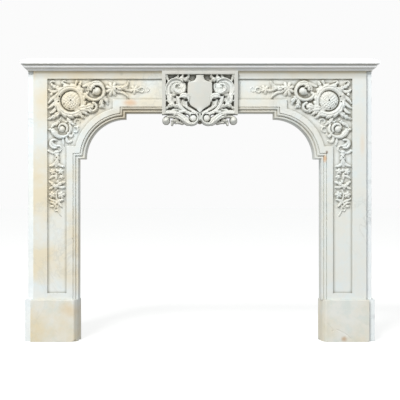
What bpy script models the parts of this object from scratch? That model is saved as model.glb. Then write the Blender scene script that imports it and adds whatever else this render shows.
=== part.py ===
"""Carved marble fireplace surround. Metres, +Z up; the front faces -Y and the wall is at +Y."""

import math

import bmesh
import bpy
from mathutils import Matrix

# Whole object
GAP = 0.0003
BODY_DEPTH = 0.200
SHELF_OVERHANG = 0.027
FACE_Y = -0.5 * (BODY_DEPTH + SHELF_OVERHANG) + SHELF_OVERHANG
WALL_Y = FACE_Y + BODY_DEPTH
PLINTH_TOP = 0.1705
SHELF_UNDERSIDE = 1.106
SHELF_TOP = 1.157

# Front slabs
SLAB_THICK = 0.070
SLAB_HALF = 0.6815
SLAB_BACK_Y = FACE_Y + SLAB_THICK
SLAB_TOP = SHELF_UNDERSIDE - GAP
JAMB_BOTTOM = PLINTH_TOP + GAP
FRIEZE_HALF = 0.302

# Opening, measured at the quirk line, which is the outer edge of its moulding
JAMB_X = 0.520
SHOULDER_Z = 0.771
ARC_X = 0.3055
ARC_Z = 0.7487
ARC_R = 0.187
STEP_X = 0.3276
HEAD_Z = 0.960
ARC_STEPS = 8
# Quirk, bead, hollow, fillet and reveal, as (inward from the quirk line, behind the face)
MOULDING = (
    (0.0000, 0.0060),
    (0.0014, 0.0030),
    (0.0045, 0.0012),
    (0.0078, 0.0030),
    (0.0096, 0.0075),
    (0.0112, 0.0150),
    (0.0150, 0.0215),
    (0.0176, 0.0235),
    (0.0240, 0.0260),
)

# Sunk panel
PANEL_DEPTH = 0.007
PANEL_OUT_X = 0.625
PANEL_IN_X = 0.545
PANEL_TOP = 1.0758
PANEL_BOTTOM = 0.196
PANEL_HEAD_Z = 0.989
PANEL_ARC_R = 0.209
PANEL_SHOULDER_Z = 0.798
PANEL_STEP_X = 0.356

# Middle block
BLOCK_HALF = 0.155
BLOCK_BOTTOM = 0.930
BLOCK_FRONT_Y = FACE_Y - 0.018
BLOCK_BACK_Y = FACE_Y + 0.0297
BLOCK_RAIL = 0.015
BLOCK_TOP_RAIL = 0.013
FIELD_Y = FACE_Y + 0.012
SCROLL_ROOT_Y = BLOCK_BACK_Y - 0.004
# Shield, as (height, half width) from the neck to the point
SHIELD = (
    (1.0905, 0.017),
    (1.0780, 0.015),
    (1.0690, 0.021),
    (1.0630, 0.047),
    (1.0570, 0.051),
    (1.0300, 0.051),
    (1.0000, 0.050),
    (0.9830, 0.043),
    (0.9680, 0.032),
    (0.9540, 0.017),
    (0.9415, 0.003),
)
SHIELD_EDGE = 0.015
SHIELD_KEEL = 0.022

# Returns beside the jambs and plinths
RETURN_OUT_X = 0.705
RETURN_SETBACK = 0.015

# Plinths
PLINTH_OUT_X = 0.692
PLINTH_PROUD = 0.010
PLINTH_FRONT_IN_X = 0.5145
PLINTH_MID_IN_X = 0.5025
PLINTH_MID_DEPTH = 0.020
PLINTH_IN_X = 0.493
PLINTH_CANT_DEPTH = 0.062
PLINTH_ARRIS = 0.0025
PLINTH_RETURN_X = 0.7165

# Shelf edge from the top face down to the underside, as (inset from the nose, below the top)
SHELF_HALF = 0.732
SHELF_PROFILE = (
    (0.0230, 0.0000),
    (0.0190, 0.0022),
    (0.0150, 0.0075),
    (0.0060, 0.0080),
    (0.0018, 0.0105),
    (0.0000, 0.0150),
    (0.0012, 0.0190),
    (0.0050, 0.0212),
    (0.0120, 0.0222),
    (0.0124, 0.0325),
    (0.0150, 0.0335),
    (0.0158, 0.0400),
    (0.0200, 0.0460),
    (0.0266, 0.0492),
    (0.0270, 0.0510),
)

# The carving is laid out in millimetres on the right side: outward from the middle line, up from
# the floor. The left side mirrors it. The rows hold:
# scroll: name, centre, (angle, radius) turns, widths along it, heights at its two ends
# leaf: name, three points along its rib, widths along it, height
# ball: name, centre, half sizes, height
# fan: name, centre, inner and outer radius, lobes, height, angle of the first lobe

# Corner panel, upper half: rosette, second volute and the leaves round them.
CORNER = (
    ("scroll", "rosette band", (528, 986), ((215, 62), (150, 44), (90, 35), (0, 32), (-90, 26),
     (-180, 19), (-270, 13)), (31, 25, 12), (7, 17)),
    ("ball", "rosette disc", (529, 986), (33, 33), 13),
    ("scroll", "outer leaf", (530, 982), ((152, 64), (90, 58), (20, 57), (-40, 55), (-90, 52),
     (-140, 52)), (11, 30, 27), (8, 13)),
    ("leaf", "sheath", ((497, 954), (466, 962), (435, 974)), (31, 31, 16), 12),
    ("scroll", "sheath curl", (440, 958), ((95, 16), (180, 16), (270, 16)), (11, 10, 8), (9, 7)),
    ("ball", "sheath bud", (456, 954), (9, 9), 8),
    ("leaf", "sheath foot", ((486, 940), (474, 929), (466, 917)), (13, 13, 6), 6),
    ("leaf", "edge leaf 1", ((594, 999), (608, 987), (620, 970)), (11, 10, 3.5), 7),
    ("leaf", "edge leaf 2", ((594, 973), (608, 959), (621, 951)), (11, 10, 3.5), 7),
    ("leaf", "edge leaf 3", ((592, 954), (601, 940), (613, 930)), (11, 10, 3.5), 7),
    ("leaf", "edge leaf 4", ((583, 938), (599, 918), (619, 913)), (15, 13, 4), 8),
    ("ball", "edge bud", (605, 1009), (5, 5), 5),
    ("leaf", "top leaf 1", ((538, 1044), (553, 1051), (564, 1060)), (11, 9, 7), 7),
    ("scroll", "top curl 1", (556, 1060), ((0, 8), (90, 7), (150, 8)), (6, 5, 3.5), (6, 4)),
    ("leaf", "top leaf 2", ((576, 1038), (599, 1047), (612, 1057)), (12, 11, 7), 7),
    ("scroll", "top curl 2", (603, 1058), ((0, 9), (90, 8), (120, 8)), (7, 6, 3.5), (6, 4)),
    ("leaf", "corner leaf", ((588, 1029), (606, 1023), (620, 1033)), (11, 10, 3.5), 6),
    ("leaf", "crest leaf 1", ((498, 1032), (492, 1046), (487, 1061)), (10, 12, 6), 8),
    ("leaf", "crest leaf 2", ((511, 1038), (507, 1049), (503, 1063)), (7, 7, 10), 7),
    ("leaf", "stem", ((499, 1036), (478, 1012), (453, 991)), (8, 7, 8), 8),
    ("ball", "stem ring", (486, 1030), (10, 9), 7),
    ("leaf", "stem husk", ((482, 1011), (467, 1012), (456, 1022)), (11, 13, 7), 7),
    ("leaf", "husk leaf", ((478, 1045), (464, 1048), (449, 1059)), (6, 9, 3.5), 5),
    ("scroll", "second volute", (424, 1026), ((-20, 47), (-90, 38), (-180, 33), (-270, 28),
     (-360, 20), (-450, 15)), (9, 14, 11), (8, 15)),
    ("ball", "second volute eye", (424, 1027), (17, 17), 13),
    ("leaf", "hanging leaf", ((411, 994), (388, 995), (378, 973)), (12, 19, 7), 9),
    ("leaf", "hanging curl", ((398, 990), (403, 972), (392, 956)), (14, 17, 7), 8),
    ("ball", "hanging bud", (406, 962), (6, 6), 5),
)

# Corner panel, lower half: third volute down to the bell flower.
LOWER = (
    ("leaf", "lower leaf", ((543, 918), (532, 900), (514, 887)), (14, 17, 7), 8),
    ("scroll", "lower curl", (501, 900), ((-20, 11), (90, 10), (200, 10)), (7, 6, 4.5), (6, 5)),
    ("ball", "lower bead", (499, 880), (6, 6), 5),
    ("scroll", "side curl", (510, 868), ((80, 11), (180, 11), (290, 11)), (7, 7, 5), (6, 5)),
    ("scroll", "third volute rim", (566, 872), ((160, 34), (225, 36), (270, 35), (330, 35)),
     (7, 11, 23), (7, 11)),
    ("leaf", "third volute tip", ((592, 852), (604, 864), (621, 869)), (23, 19, 3.5), 9),
    ("leaf", "third volute lobe", ((597, 857), (587, 854), (580, 847)), (12, 9, 3.5), 7),
    ("scroll", "third volute", (563, 873), ((215, 21), (180, 20), (90, 17), (0, 14)), (11, 13, 8),
     (8, 13)),
    ("ball", "third volute eye", (565, 870), (14, 14), 10),
    ("leaf", "flying leaf", ((571, 909), (584, 894), (601, 886)), (9, 16, 11), 8),
    ("leaf", "flying tip", ((593, 891), (603, 882), (610, 872)), (12, 10, 3.5), 7),
    ("leaf", "inner leaf", ((539, 907), (548, 898), (556, 904)), (6, 7, 3.5), 5),
    ("leaf", "rim leaf", ((536, 892), (527, 872), (533, 853)), (7, 9, 5), 6),
    ("leaf", "frond 1", ((540, 854), (529, 840), (519, 848)), (8, 12, 6), 7),
    ("leaf", "frond 2", ((547, 836), (541, 818), (525, 821)), (10, 13, 7), 7),
    ("leaf", "frond 3", ((560, 832), (560, 817), (556, 803)), (8, 12, 3.5), 6),
    ("scroll", "comma leaf", (594, 809), ((110, 17), (20, 18), (-50, 17), (-110, 17)), (9, 14, 7),
     (8, 9)),
    ("leaf", "comma lobe", ((580, 801), (595, 802), (605, 815)), (6, 12, 7), 8),
    ("scroll", "calyx ring", (579, 789), ((95, 12), (180, 12), (250, 12)), (6, 6, 6), (6, 6)),
    ("ball", "calyx", (586, 776), (11, 7), 8),
    ("leaf", "calyx bud", ((589, 773), (605, 772), (619, 781)), (8, 7, 10), 6),
)

# The drop of leaves down the jamb panel.
DROP = (
    ("leaf", "bell stem", ((585, 766), (585, 747), (588, 720)), (18, 21, 15), 9),
    ("leaf", "bell mouth 1", ((584, 732), (574, 721), (558, 716)), (12, 11, 6), 8),
    ("leaf", "bell mouth 2", ((590, 732), (602, 722), (615, 718)), (12, 11, 6), 8),
    ("fan", "ivy 1", (570, 696), (8, 14), 5, 8, 90),
    ("fan", "ivy 2", (603, 695), (8, 14), 5, 8, 70),
    ("ball", "drop bead 1", (586, 700), (4.5, 8), 6),
    ("fan", "ivy 3", (566, 674), (6, 11), 5, 7, 120),
    ("leaf", "drop leaf 1", ((592, 678), (604, 675), (616, 666)), (8, 12, 4), 7),
    ("leaf", "drop leaf 2", ((588, 686), (588, 673), (586, 663)), (7, 12, 4), 7),
    ("leaf", "wing 1", ((592, 626), (577, 643), (555, 652)), (10, 16, 9), 9),
    ("leaf", "wing 2", ((590, 627), (600, 641), (615, 653)), (10, 16, 8), 9),
    ("leaf", "wing lobe 1", ((581, 635), (568, 631), (555, 631)), (9, 12, 7), 7),
    ("leaf", "wing lobe 2", ((596, 636), (606, 630), (616, 624)), (8, 10, 6), 7),
    ("ball", "drop bead 2", (583, 654), (6, 7), 7),
    ("fan", "ivy 4", (568, 600), (10, 16), 5, 9, 100),
    ("fan", "ivy 5", (604, 600), (9, 15), 5, 9, 80),
    ("leaf", "drop stem", ((584, 618), (588, 599), (584, 579)), (6, 7, 7), 6),
    ("leaf", "drop leaf 3", ((587, 567), (573, 577), (559, 580)), (10, 13, 7), 8),
    ("leaf", "drop leaf 4", ((589, 573), (603, 577), (617, 584)), (7, 10, 5), 7),
    ("leaf", "drop leaf 5", ((582, 571), (574, 562), (566, 552)), (10, 11, 5), 7),
    ("leaf", "drop leaf 6", ((589, 555), (599, 565), (613, 569)), (7, 11, 5), 7),
    ("ball", "drop bud", (605, 553), (10, 6), 6),
    ("scroll", "drop ring", (588, 542), ((120, 8), (-10, 8), (-150, 8)), (5, 5, 4), (5, 4)),
    ("leaf", "tail", ((580, 558), (580, 536), (569, 514)), (5, 5, 3), 4),
)

# The spray that thins out along the frieze panel.
SPRAY = (
    ("fan", "palmette", (358, 1033), (18, 31), 8, 10, 22),
    ("leaf", "trumpet", ((361, 1036), (333, 1036), (304, 1039)), (20, 23, 17), 12),
    ("leaf", "trumpet tip 1", ((320, 1040), (302, 1046), (292, 1064)), (15, 13, 4), 9),
    ("leaf", "trumpet tip 2", ((334, 1022), (311, 1016), (292, 997)), (12, 11, 3.5), 8),
    ("leaf", "trumpet tongue", ((314, 1032), (297, 1029), (282, 1023)), (11, 8, 3.5), 7),
    ("fan", "star", (268, 1031), (7, 19), 5, 7, 54),
    ("leaf", "star stem", ((287, 1031), (263, 1032), (249, 1036)), (6, 6, 5), 6),
    ("scroll", "tendril", (239, 1030), ((40, 10), (180, 10), (320, 10), (400, 9)), (5, 5, 4), (5, 5)),
    ("leaf", "tendril tail", ((229, 1028), (224, 1024), (217, 1023)), (4, 3.5, 3.5), 3),
    ("scroll", "fading curl", (216, 1032), ((-80, 9), (-180, 9), (-290, 8)), (4, 3.5, 3), (3, 2)),
)

# Half of the middle block, heights above its sunk field.
BLOCK = (
    ("scroll", "upper frond", (96, 1034), ((-50, 43), (0, 42), (50, 42), (95, 42), (140, 43)),
     (10, 15, 11), (16, 24)),
    ("ball", "upper volute", (88, 1041), (30, 30), 31),
    ("scroll", "upper volute band", (91, 1041), ((200, 31), (270, 27), (360, 21), (450, 15),
     (520, 10)), (10, 9, 7), (22, 34)),
    ("leaf", "top leaf", ((68, 1069), (55, 1079), (44, 1086)), (11, 14, 7), 22),
    ("leaf", "corner leaf", ((136, 1046), (134, 1068), (136, 1089)), (7, 12, 8), 20),
    ("scroll", "turned leaf", (61, 992), ((-10, 16), (60, 16), (120, 16), (170, 20)),
     (13, 18, 11), (26, 34)),
    ("leaf", "turned tip", ((47, 1003), (39, 1002), (36, 996)), (12, 9, 3.5), 27),
    ("leaf", "stem 1", ((14, 945), (46, 963), (80, 987)), (11, 14, 13), 22),
    ("leaf", "stem 2", ((17, 940), (72, 957), (130, 986)), (12, 16, 9), 25),
    ("leaf", "side leaf", ((88, 959), (100, 979), (97, 1004)), (9, 14, 8), 22),
    ("leaf", "side leaf 2", ((107, 974), (126, 991), (128, 1008)), (11, 12, 6), 20),
    ("leaf", "small leaf", ((60, 960), (54, 971), (49, 976)), (7, 9, 5), 20),
    ("leaf", "foot leaf", ((78, 946), (117, 963), (146, 954)), (9, 15, 9), 25),
    ("leaf", "scroll back", ((58, 934), (99, 941), (154, 937)), (16, 19, 19), 29),
)

# Half of the scrolls under the block, heights above the block's back.
HANGING = (
    ("leaf", "scroll body", ((153, 932), (92, 927), (51, 902)), (13, 26, 31), 42),
    ("scroll", "lower volute", (27, 913), ((-30, 25), (-90, 22), (-180, 19), (-270, 17),
     (-330, 18)), (23, 12, 9), (42, 46)),
    ("ball", "lower volute eye", (27, 913), (16, 16), 43),
    ("scroll", "inner curl", (40, 927), ((200, 12), (90, 12), (0, 13)), (7, 7, 6), (40, 36)),
    ("leaf", "neck", ((90, 901), (115, 920), (139, 910)), (11, 11, 10), 30),
    ("ball", "scroll ball", (140, 902), (15, 15), 37),
    ("leaf", "curled leaf", ((85, 903), (104, 909), (115, 890)), (12, 11, 6), 29),
)

# How the carving is cut in the solid
MM = 0.001
PANEL_ROOT = 3.0
SCROLL_ROOT = 3.5
BALL_SINK = 0.5
LARGE_LEAF = 55
LARGE_SCROLL = 14
LARGE_FAN = 20
LARGE_BALL = 20
CREASE = math.radians(35)


def clear_scene():
    for obj in list(bpy.data.objects):
        bpy.data.objects.remove(obj, do_unlink=True)


def new_collection(name):
    collection = bpy.data.collections.new(name)
    bpy.context.scene.collection.children.link(collection)
    return collection


def marble(name, colour, roughness):
    material = bpy.data.materials.new(name)
    material.use_nodes = True
    shader = material.node_tree.nodes["Principled BSDF"]
    shader.inputs["Base Color"].default_value = (*colour, 1.0)
    shader.inputs["Roughness"].default_value = roughness
    shader.inputs["Metallic"].default_value = 0.0
    return material


def move_to(obj, collection):
    for old in list(obj.users_collection):
        old.objects.unlink(obj)
    collection.objects.link(obj)
    return obj


def as_piece(obj, name, colour, roughness=0.45):
    """A finished stone: named, coloured, smooth on its curves and carried by the origin."""
    obj.name = name
    obj.data.name = name
    obj.data.materials.append(marble(name + " marble", colour, roughness))
    obj.data.shade_smooth()
    obj.data.set_sharp_from_angle(angle=CREASE)
    obj.parent = ORIGIN
    return move_to(obj, PIECES)


def as_cutter(obj, name):
    obj.name = name
    obj.data.shade_smooth()
    obj.data.set_sharp_from_angle(angle=CREASE)
    obj.hide_render = True
    obj.display_type = "WIRE"
    return move_to(obj, CUTTERS)


def box(x0, x1, y0, y1, z0, z1):
    centre = (0.5 * (x0 + x1), 0.5 * (y0 + y1), 0.5 * (z0 + z1))
    bpy.ops.mesh.primitive_cube_add(size=1, location=centre)
    obj = bpy.context.active_object
    obj.scale = (abs(x1 - x0), abs(y1 - y0), abs(z1 - z0))
    bpy.ops.object.transform_apply(location=True, rotation=False, scale=True)
    return obj


def flat_prism(outline, thickness, matrix):
    """A filled 2D outline given a thickness, half to each side of its own plane."""
    curve = bpy.data.curves.new("outline", "CURVE")
    curve.dimensions = "2D"
    curve.fill_mode = "BOTH"
    curve.extrude = 0.5 * thickness
    spline = curve.splines.new("POLY")
    spline.points.add(len(outline) - 1)
    for point, (a, b) in zip(spline.points, outline):
        point.co = (a, b, 0.0, 1.0)
    spline.use_cyclic_u = True
    guide = bpy.data.objects.new("outline", curve)
    bpy.context.scene.collection.objects.link(guide)
    bpy.context.view_layer.update()
    mesh = bpy.data.meshes.new_from_object(guide.evaluated_get(bpy.context.evaluated_depsgraph_get()))
    bpy.data.objects.remove(guide, do_unlink=True)
    work = bmesh.new()
    work.from_mesh(mesh)
    bmesh.ops.remove_doubles(work, verts=work.verts, dist=1e-5)
    bmesh.ops.transform(work, matrix=matrix, verts=work.verts)
    bmesh.ops.recalc_face_normals(work, faces=work.faces)
    work.to_mesh(mesh)
    work.free()
    obj = bpy.data.objects.new("outline", mesh)
    bpy.context.scene.collection.objects.link(obj)
    return obj


def turn_outwards(work, faces):
    """Turns a closed shell's faces round if they point into it."""
    volume = 0.0
    for face in faces:
        face.normal_update()
        volume += face.calc_area() * face.normal.dot(face.calc_center_median())
    if volume < 0:
        bmesh.ops.reverse_faces(work, faces=faces)


def loft(work, rings, apex=None):
    """Unlike rings of equally many points joined into one closed shell, with an optional tip."""
    loops = [[work.verts.new(point) for point in ring] for ring in rings]
    count = len(loops[0])
    faces = [work.faces.new(loops[0][::-1])]
    for low, high in zip(loops, loops[1:]):
        for j in range(count):
            k = (j + 1) % count
            faces.append(work.faces.new((low[j], low[k], high[k], high[j])))
    if apex is None:
        faces.append(work.faces.new(loops[-1]))
    else:
        tip = work.verts.new(apex)
        for j in range(count):
            faces.append(work.faces.new((loops[-1][j], loops[-1][(j + 1) % count], tip)))
    turn_outwards(work, faces)


def finished(work):
    """The closed shells of a work mesh as one object."""
    mesh = bpy.data.meshes.new("shells")
    work.to_mesh(mesh)
    work.free()
    obj = bpy.data.objects.new("shells", mesh)
    bpy.context.scene.collection.objects.link(obj)
    return obj


def boolean(obj, other, operation, joins_shells=False):
    modifier = obj.modifiers.new(other.name, "BOOLEAN")
    modifier.operation = operation
    modifier.solver = "EXACT"
    modifier.use_self = joins_shells
    modifier.object = other


def with_mirror_image(half):
    """A half outline on the right and its mirror image, as one loop."""
    return half + [(-x, z) for x, z in reversed(half)]


def corner_arc(radius, shoulder_z, step_x):
    """The quarter curve of the inner corner, from the jamb shoulder up to the head step."""
    start = math.asin((shoulder_z - ARC_Z) / radius)
    end = math.acos((step_x - ARC_X) / radius)
    angles = [start + (end - start) * i / ARC_STEPS for i in range(ARC_STEPS + 1)]
    return [(ARC_X + radius * math.cos(a), ARC_Z + radius * math.sin(a)) for a in angles]


def opening_outline(inward, low):
    """The opening at a distance inside the quirk line, down to a height below the jambs."""
    shoulder = SHOULDER_Z - inward
    step = STEP_X - inward
    half = [(JAMB_X - inward, low), (JAMB_X - inward, shoulder)]
    half += corner_arc(ARC_R - inward, shoulder, step)
    half.append((step, HEAD_Z - inward))
    return with_mirror_image(half)


def opening_cutter():
    """The void of the opening, whose wall carries the profile of its moulding."""
    beyond = 0.05
    stations = [(0.0, -beyond)] + list(MOULDING) + [(MOULDING[-1][0], SLAB_THICK + beyond)]
    work = bmesh.new()
    rings = []
    for inward, depth in stations:
        rings.append([(x, FACE_Y + depth, z) for x, z in opening_outline(inward, beyond)])
    loft(work, rings)
    return as_cutter(finished(work), "cut_opening")


def panel_cutter():
    """The sunk panel: up one jamb, along the frieze and down the other."""
    right = [(PANEL_OUT_X, PANEL_TOP), (PANEL_OUT_X, PANEL_BOTTOM), (PANEL_IN_X, PANEL_BOTTOM)]
    right.append((PANEL_IN_X, PANEL_SHOULDER_Z))
    right += corner_arc(PANEL_ARC_R, PANEL_SHOULDER_Z, PANEL_STEP_X)
    right.append((PANEL_STEP_X, PANEL_HEAD_Z))
    beyond = 0.05
    middle = FACE_Y + 0.5 * (PANEL_DEPTH - beyond)
    upright = Matrix.Translation((0, middle, 0)) @ Matrix.Rotation(math.radians(90), 4, "X")
    obj = flat_prism(with_mirror_image(right), PANEL_DEPTH + beyond, upright)
    return as_cutter(obj, "cut_panel")


def between(values, share):
    """The value at a share of the way along an evenly spaced row of values."""
    place = share * (len(values) - 1)
    k = min(int(place), len(values) - 2)
    return values[k] * (1 - place + k) + values[k + 1] * (place - k)


def scroll_path(centre, turns):
    """Points along a spiral through its (angle, radius) turns."""
    sweep = abs(turns[-1][0] - turns[0][0])
    large = max(radius for _, radius in turns) > 2 * LARGE_SCROLL
    steps = max(3, round(sweep / (36 if large else 60)))
    path = []
    for i in range(steps + 1):
        angle = math.radians(between([turn[0] for turn in turns], i / steps))
        radius = between([turn[1] for turn in turns], i / steps)
        path.append((centre[0] + radius * math.cos(angle), centre[1] + radius * math.sin(angle)))
    return path


def leaf_path(start, middle, end, steps):
    """Points along the curve that passes through three points."""
    pull = [2 * middle[k] - 0.5 * (start[k] + end[k]) for k in (0, 1)]
    path = []
    for i in range(steps + 1):
        t = i / steps
        path.append([(1 - t) ** 2 * start[k] + 2 * t * (1 - t) * pull[k] + t * t * end[k] for k in (0, 1)])
    return path


def cross_section(form, half, height, root):
    """Across a band, as (sideways, above the ground)."""
    if form == "strap":
        shoulder = 0.55 * height
        return ((-half, -root), (-half, shoulder), (0, height), (half, shoulder), (half, -root))
    if form == "ridge":
        low, inset = 0.35 * height, 0.9 * half
        return ((-half, -root), (-inset, low), (0, height), (inset, low), (half, -root))
    return ((-1.15 * half, -root), (0, height), (1.15 * half, -root))


class Carver:
    """Adds carved forms as closed shells to one mesh, in front of a flat ground."""

    def __init__(self, ground_y, root):
        self.work = bmesh.new()
        self.ground_y = ground_y
        self.root = root
        self.side = 1

    def place(self, outward, up, rise):
        return (self.side * outward * MM, self.ground_y - rise * MM, up * MM)

    def band(self, path, widths, heights, form):
        last = len(path) - 1
        rings = []
        for i, (u, v) in enumerate(path):
            before, after = path[max(i - 1, 0)], path[min(i + 1, last)]
            du, dv = after[0] - before[0], after[1] - before[1]
            size = math.hypot(du, dv)
            half = 0.5 * between(widths, i / last)
            section = cross_section(form, half, between(heights, i / last), self.root)
            rings.append([self.place(u - dv / size * w, v + du / size * w, rise) for w, rise in section])
        loft(self.work, rings)

    def scroll(self, name, centre, turns, widths, heights):
        form = "strap" if max(radius for _, radius in turns) > LARGE_SCROLL else "wedge"
        self.band(scroll_path(centre, turns), widths, heights, form)

    def leaf(self, name, points, widths, height):
        large = math.dist(points[0], points[2]) > LARGE_LEAF
        path = leaf_path(*points, 3 if large else 2)
        heights = (0.7 * height, height, 0.45 * height)
        self.band(path, widths, heights, "ridge" if large else "wedge")

    def ball(self, name, centre, sizes, height):
        """A sphere sunk into the ground to just above its widest ring."""
        around = 10 if sizes[0] > LARGE_BALL else 8
        made = bmesh.ops.create_uvsphere(self.work, u_segments=around, v_segments=4, radius=1.0)
        for vert in made["verts"]:
            a, b, c = vert.co
            tall = height + BALL_SINK if c > 0 else self.root - BALL_SINK
            rise = c * tall - BALL_SINK
            vert.co = self.place(centre[0] + sizes[0] * a, centre[1] + sizes[1] * b, rise)
        faces = {face for vert in made["verts"] for face in vert.link_faces}
        turn_outwards(self.work, list(faces))

    def fan(self, name, centre, radii, lobes, height, turn):
        """Lobes round a middle, as in a palmette, a star or an ivy leaf."""
        levels = ((1.0, -self.root), (1.0, 0.45 * height))
        if radii[1] < LARGE_FAN:
            levels = ((1.1, -self.root),)
        rings = []
        for share, rise in levels:
            ring = []
            for j in range(2 * lobes):
                angle = math.radians(turn) + math.pi * j / lobes
                radius = share * (radii[0] if j % 2 else radii[1])
                u = centre[0] + radius * math.cos(angle)
                v = centre[1] + radius * math.sin(angle)
                ring.append(self.place(u, v, rise))
            rings.append(ring)
        loft(self.work, rings, apex=self.place(*centre, height))

    def carve(self, rows, sides):
        for self.side in sides:
            for form, *sizes in rows:
                getattr(self, form)(*sizes)
        return self

    def finished(self, name):
        return as_cutter(finished(self.work), name)


def reach(row):
    """How far in and out a row of the carving goes, in millimetres from the middle line."""
    if row[0] == "leaf":
        outs = [point[0] for point in row[2]]
        spread = max(row[3])
    elif row[0] == "scroll":
        outs = [row[2][0]]
        spread = max(radius for _, radius in row[3]) + max(row[4])
    else:
        outs = [row[2][0]]
        spread = max(row[3])
    return min(outs) - spread, max(outs) + spread


def side_name(side):
    return "right" if side > 0 else "left"


def spanned(side, near, far):
    """The two ends along X of what lies between two distances on one side."""
    return sorted((side * near, side * far))


def keep_between(obj, x0, x1):
    """Squares a slab's ends after its carving is on."""
    keeper = as_cutter(box(x0, x1, -1, 1, -1, 2), "keep_" + obj.name)
    boolean(obj, keeper, "INTERSECT")


def make_frieze(opening, panel):
    obj = box(-0.4, 0.4, FACE_Y, SLAB_BACK_Y, 0.8, SLAB_TOP)
    as_piece(obj, "frieze", (0.74, 0.73, 0.69))
    boolean(obj, opening, "DIFFERENCE")
    boolean(obj, panel, "DIFFERENCE")
    half = BLOCK_HALF + GAP
    pocket = box(-half, half, FACE_Y - 0.05, BLOCK_BACK_Y + GAP, 0.7, 1.3)
    boolean(obj, as_cutter(pocket, "cut_pocket"), "DIFFERENCE")
    rows = [row for row in SPRAY + CORNER if reach(row)[0] < FRIEZE_HALF / MM]
    carved = Carver(FACE_Y + PANEL_DEPTH, PANEL_ROOT).carve(rows, (1, -1))
    boolean(obj, carved.finished("carved_frieze"), "UNION", joins_shells=True)
    keep_between(obj, -FRIEZE_HALF, FRIEZE_HALF)


def make_jamb(side, opening, panel):
    x0, x1 = spanned(side, 0.2, SLAB_HALF)
    obj = box(x0, x1, FACE_Y, SLAB_BACK_Y, JAMB_BOTTOM, SLAB_TOP)
    as_piece(obj, "jamb_" + side_name(side), (0.74, 0.73, 0.68))
    boolean(obj, opening, "DIFFERENCE")
    boolean(obj, panel, "DIFFERENCE")
    rows = [row for row in SPRAY + CORNER + LOWER + DROP if reach(row)[1] > FRIEZE_HALF / MM]
    carved = Carver(FACE_Y + PANEL_DEPTH, PANEL_ROOT).carve(rows, (side,))
    boolean(obj, carved.finished("carved_jamb_" + side_name(side)), "UNION", joins_shells=True)
    keep_between(obj, *spanned(side, FRIEZE_HALF + GAP, 1.0))


def make_shield():
    """A shield with a ridge down its middle, rooted in the sunk field."""
    root = FIELD_Y + PANEL_ROOT * MM
    edge = FIELD_Y - SHIELD_EDGE
    keel = FIELD_Y - SHIELD_KEEL
    work = bmesh.new()
    rings = []
    for z, half in SHIELD:
        rings.append([(-half, root, z), (-half, edge, z), (0, keel, z), (half, edge, z), (half, root, z)])
    loft(work, rings)
    return as_cutter(finished(work), "shield")


def make_middle_block():
    obj = box(-BLOCK_HALF, BLOCK_HALF, BLOCK_FRONT_Y, BLOCK_BACK_Y, BLOCK_BOTTOM, SLAB_TOP)
    as_piece(obj, "middle_block", (0.76, 0.75, 0.70))
    inner = BLOCK_HALF - BLOCK_RAIL
    field = box(-inner, inner, BLOCK_FRONT_Y - 0.05, FIELD_Y, 0.9, SLAB_TOP - BLOCK_TOP_RAIL)
    boolean(obj, as_cutter(field, "cut_field"), "DIFFERENCE")
    boolean(obj, make_shield(), "UNION")
    carved = Carver(FIELD_Y, PANEL_ROOT).carve(BLOCK, (1, -1))
    boolean(obj, carved.finished("carved_block"), "UNION", joins_shells=True)
    carved = Carver(SCROLL_ROOT_Y, SCROLL_ROOT).carve(HANGING, (1, -1))
    boolean(obj, carved.finished("carved_scrolls"), "UNION", joins_shells=True)


def make_shelf():
    """The edge profile carried round the front and both ends, mitred at the corners."""
    work = bmesh.new()
    rings = []
    for inset, below in SHELF_PROFILE:
        half = SHELF_HALF - inset
        front = FACE_Y - SHELF_OVERHANG + inset
        z = SHELF_TOP - below
        rings.append([(-half, front, z), (half, front, z), (half, WALL_Y, z), (-half, WALL_Y, z)])
    loft(work, rings)
    as_piece(finished(work), "shelf", (0.86, 0.86, 0.85), 0.38)


def make_plinth(side):
    """A plain block whose inner side is canted back, with its edges eased."""
    front = FACE_Y - PLINTH_PROUD
    plan = (
        (PLINTH_OUT_X, SLAB_BACK_Y),
        (PLINTH_OUT_X, front),
        (PLINTH_FRONT_IN_X, front),
        (PLINTH_MID_IN_X, front + PLINTH_MID_DEPTH),
        (PLINTH_IN_X, front + PLINTH_CANT_DEPTH),
        (PLINTH_IN_X, SLAB_BACK_Y),
    )
    outline = [(side * x, y) for x, y in plan]
    obj = flat_prism(outline, PLINTH_TOP, Matrix.Translation((0, 0, 0.5 * PLINTH_TOP)))
    as_piece(obj, "plinth_" + side_name(side), (0.70, 0.69, 0.62), 0.55)
    bevel = obj.modifiers.new("eased edges", "BEVEL")
    bevel.width = PLINTH_ARRIS
    bevel.segments = 1
    bevel.limit_method = "ANGLE"
    bevel.angle_limit = math.radians(50)


def make_returns(side):
    x0, x1 = spanned(side, SLAB_HALF + GAP, RETURN_OUT_X)
    obj = box(x0, x1, FACE_Y + RETURN_SETBACK, WALL_Y, JAMB_BOTTOM, SLAB_TOP)
    as_piece(obj, "return_" + side_name(side), (0.80, 0.83, 0.83))
    x0, x1 = spanned(side, PLINTH_OUT_X + GAP, PLINTH_RETURN_X)
    front = FACE_Y - PLINTH_PROUD + RETURN_SETBACK
    obj = box(x0, x1, front, WALL_Y, 0.0, PLINTH_TOP)
    as_piece(obj, "plinth_return_" + side_name(side), (0.72, 0.76, 0.76), 0.55)


clear_scene()
PIECES = new_collection("fireplace_surround")
CUTTERS = new_collection("cutters")
CUTTERS.hide_render = True
ORIGIN = bpy.data.objects.new("surround_origin", None)
PIECES.objects.link(ORIGIN)

opening_void = opening_cutter()
panel_void = panel_cutter()
make_frieze(opening_void, panel_void)
make_middle_block()
make_shelf()
for jamb_side in (1, -1):
    make_jamb(jamb_side, opening_void, panel_void)
    make_plinth(jamb_side)
    make_returns(jamb_side)
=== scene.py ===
import math

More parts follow.
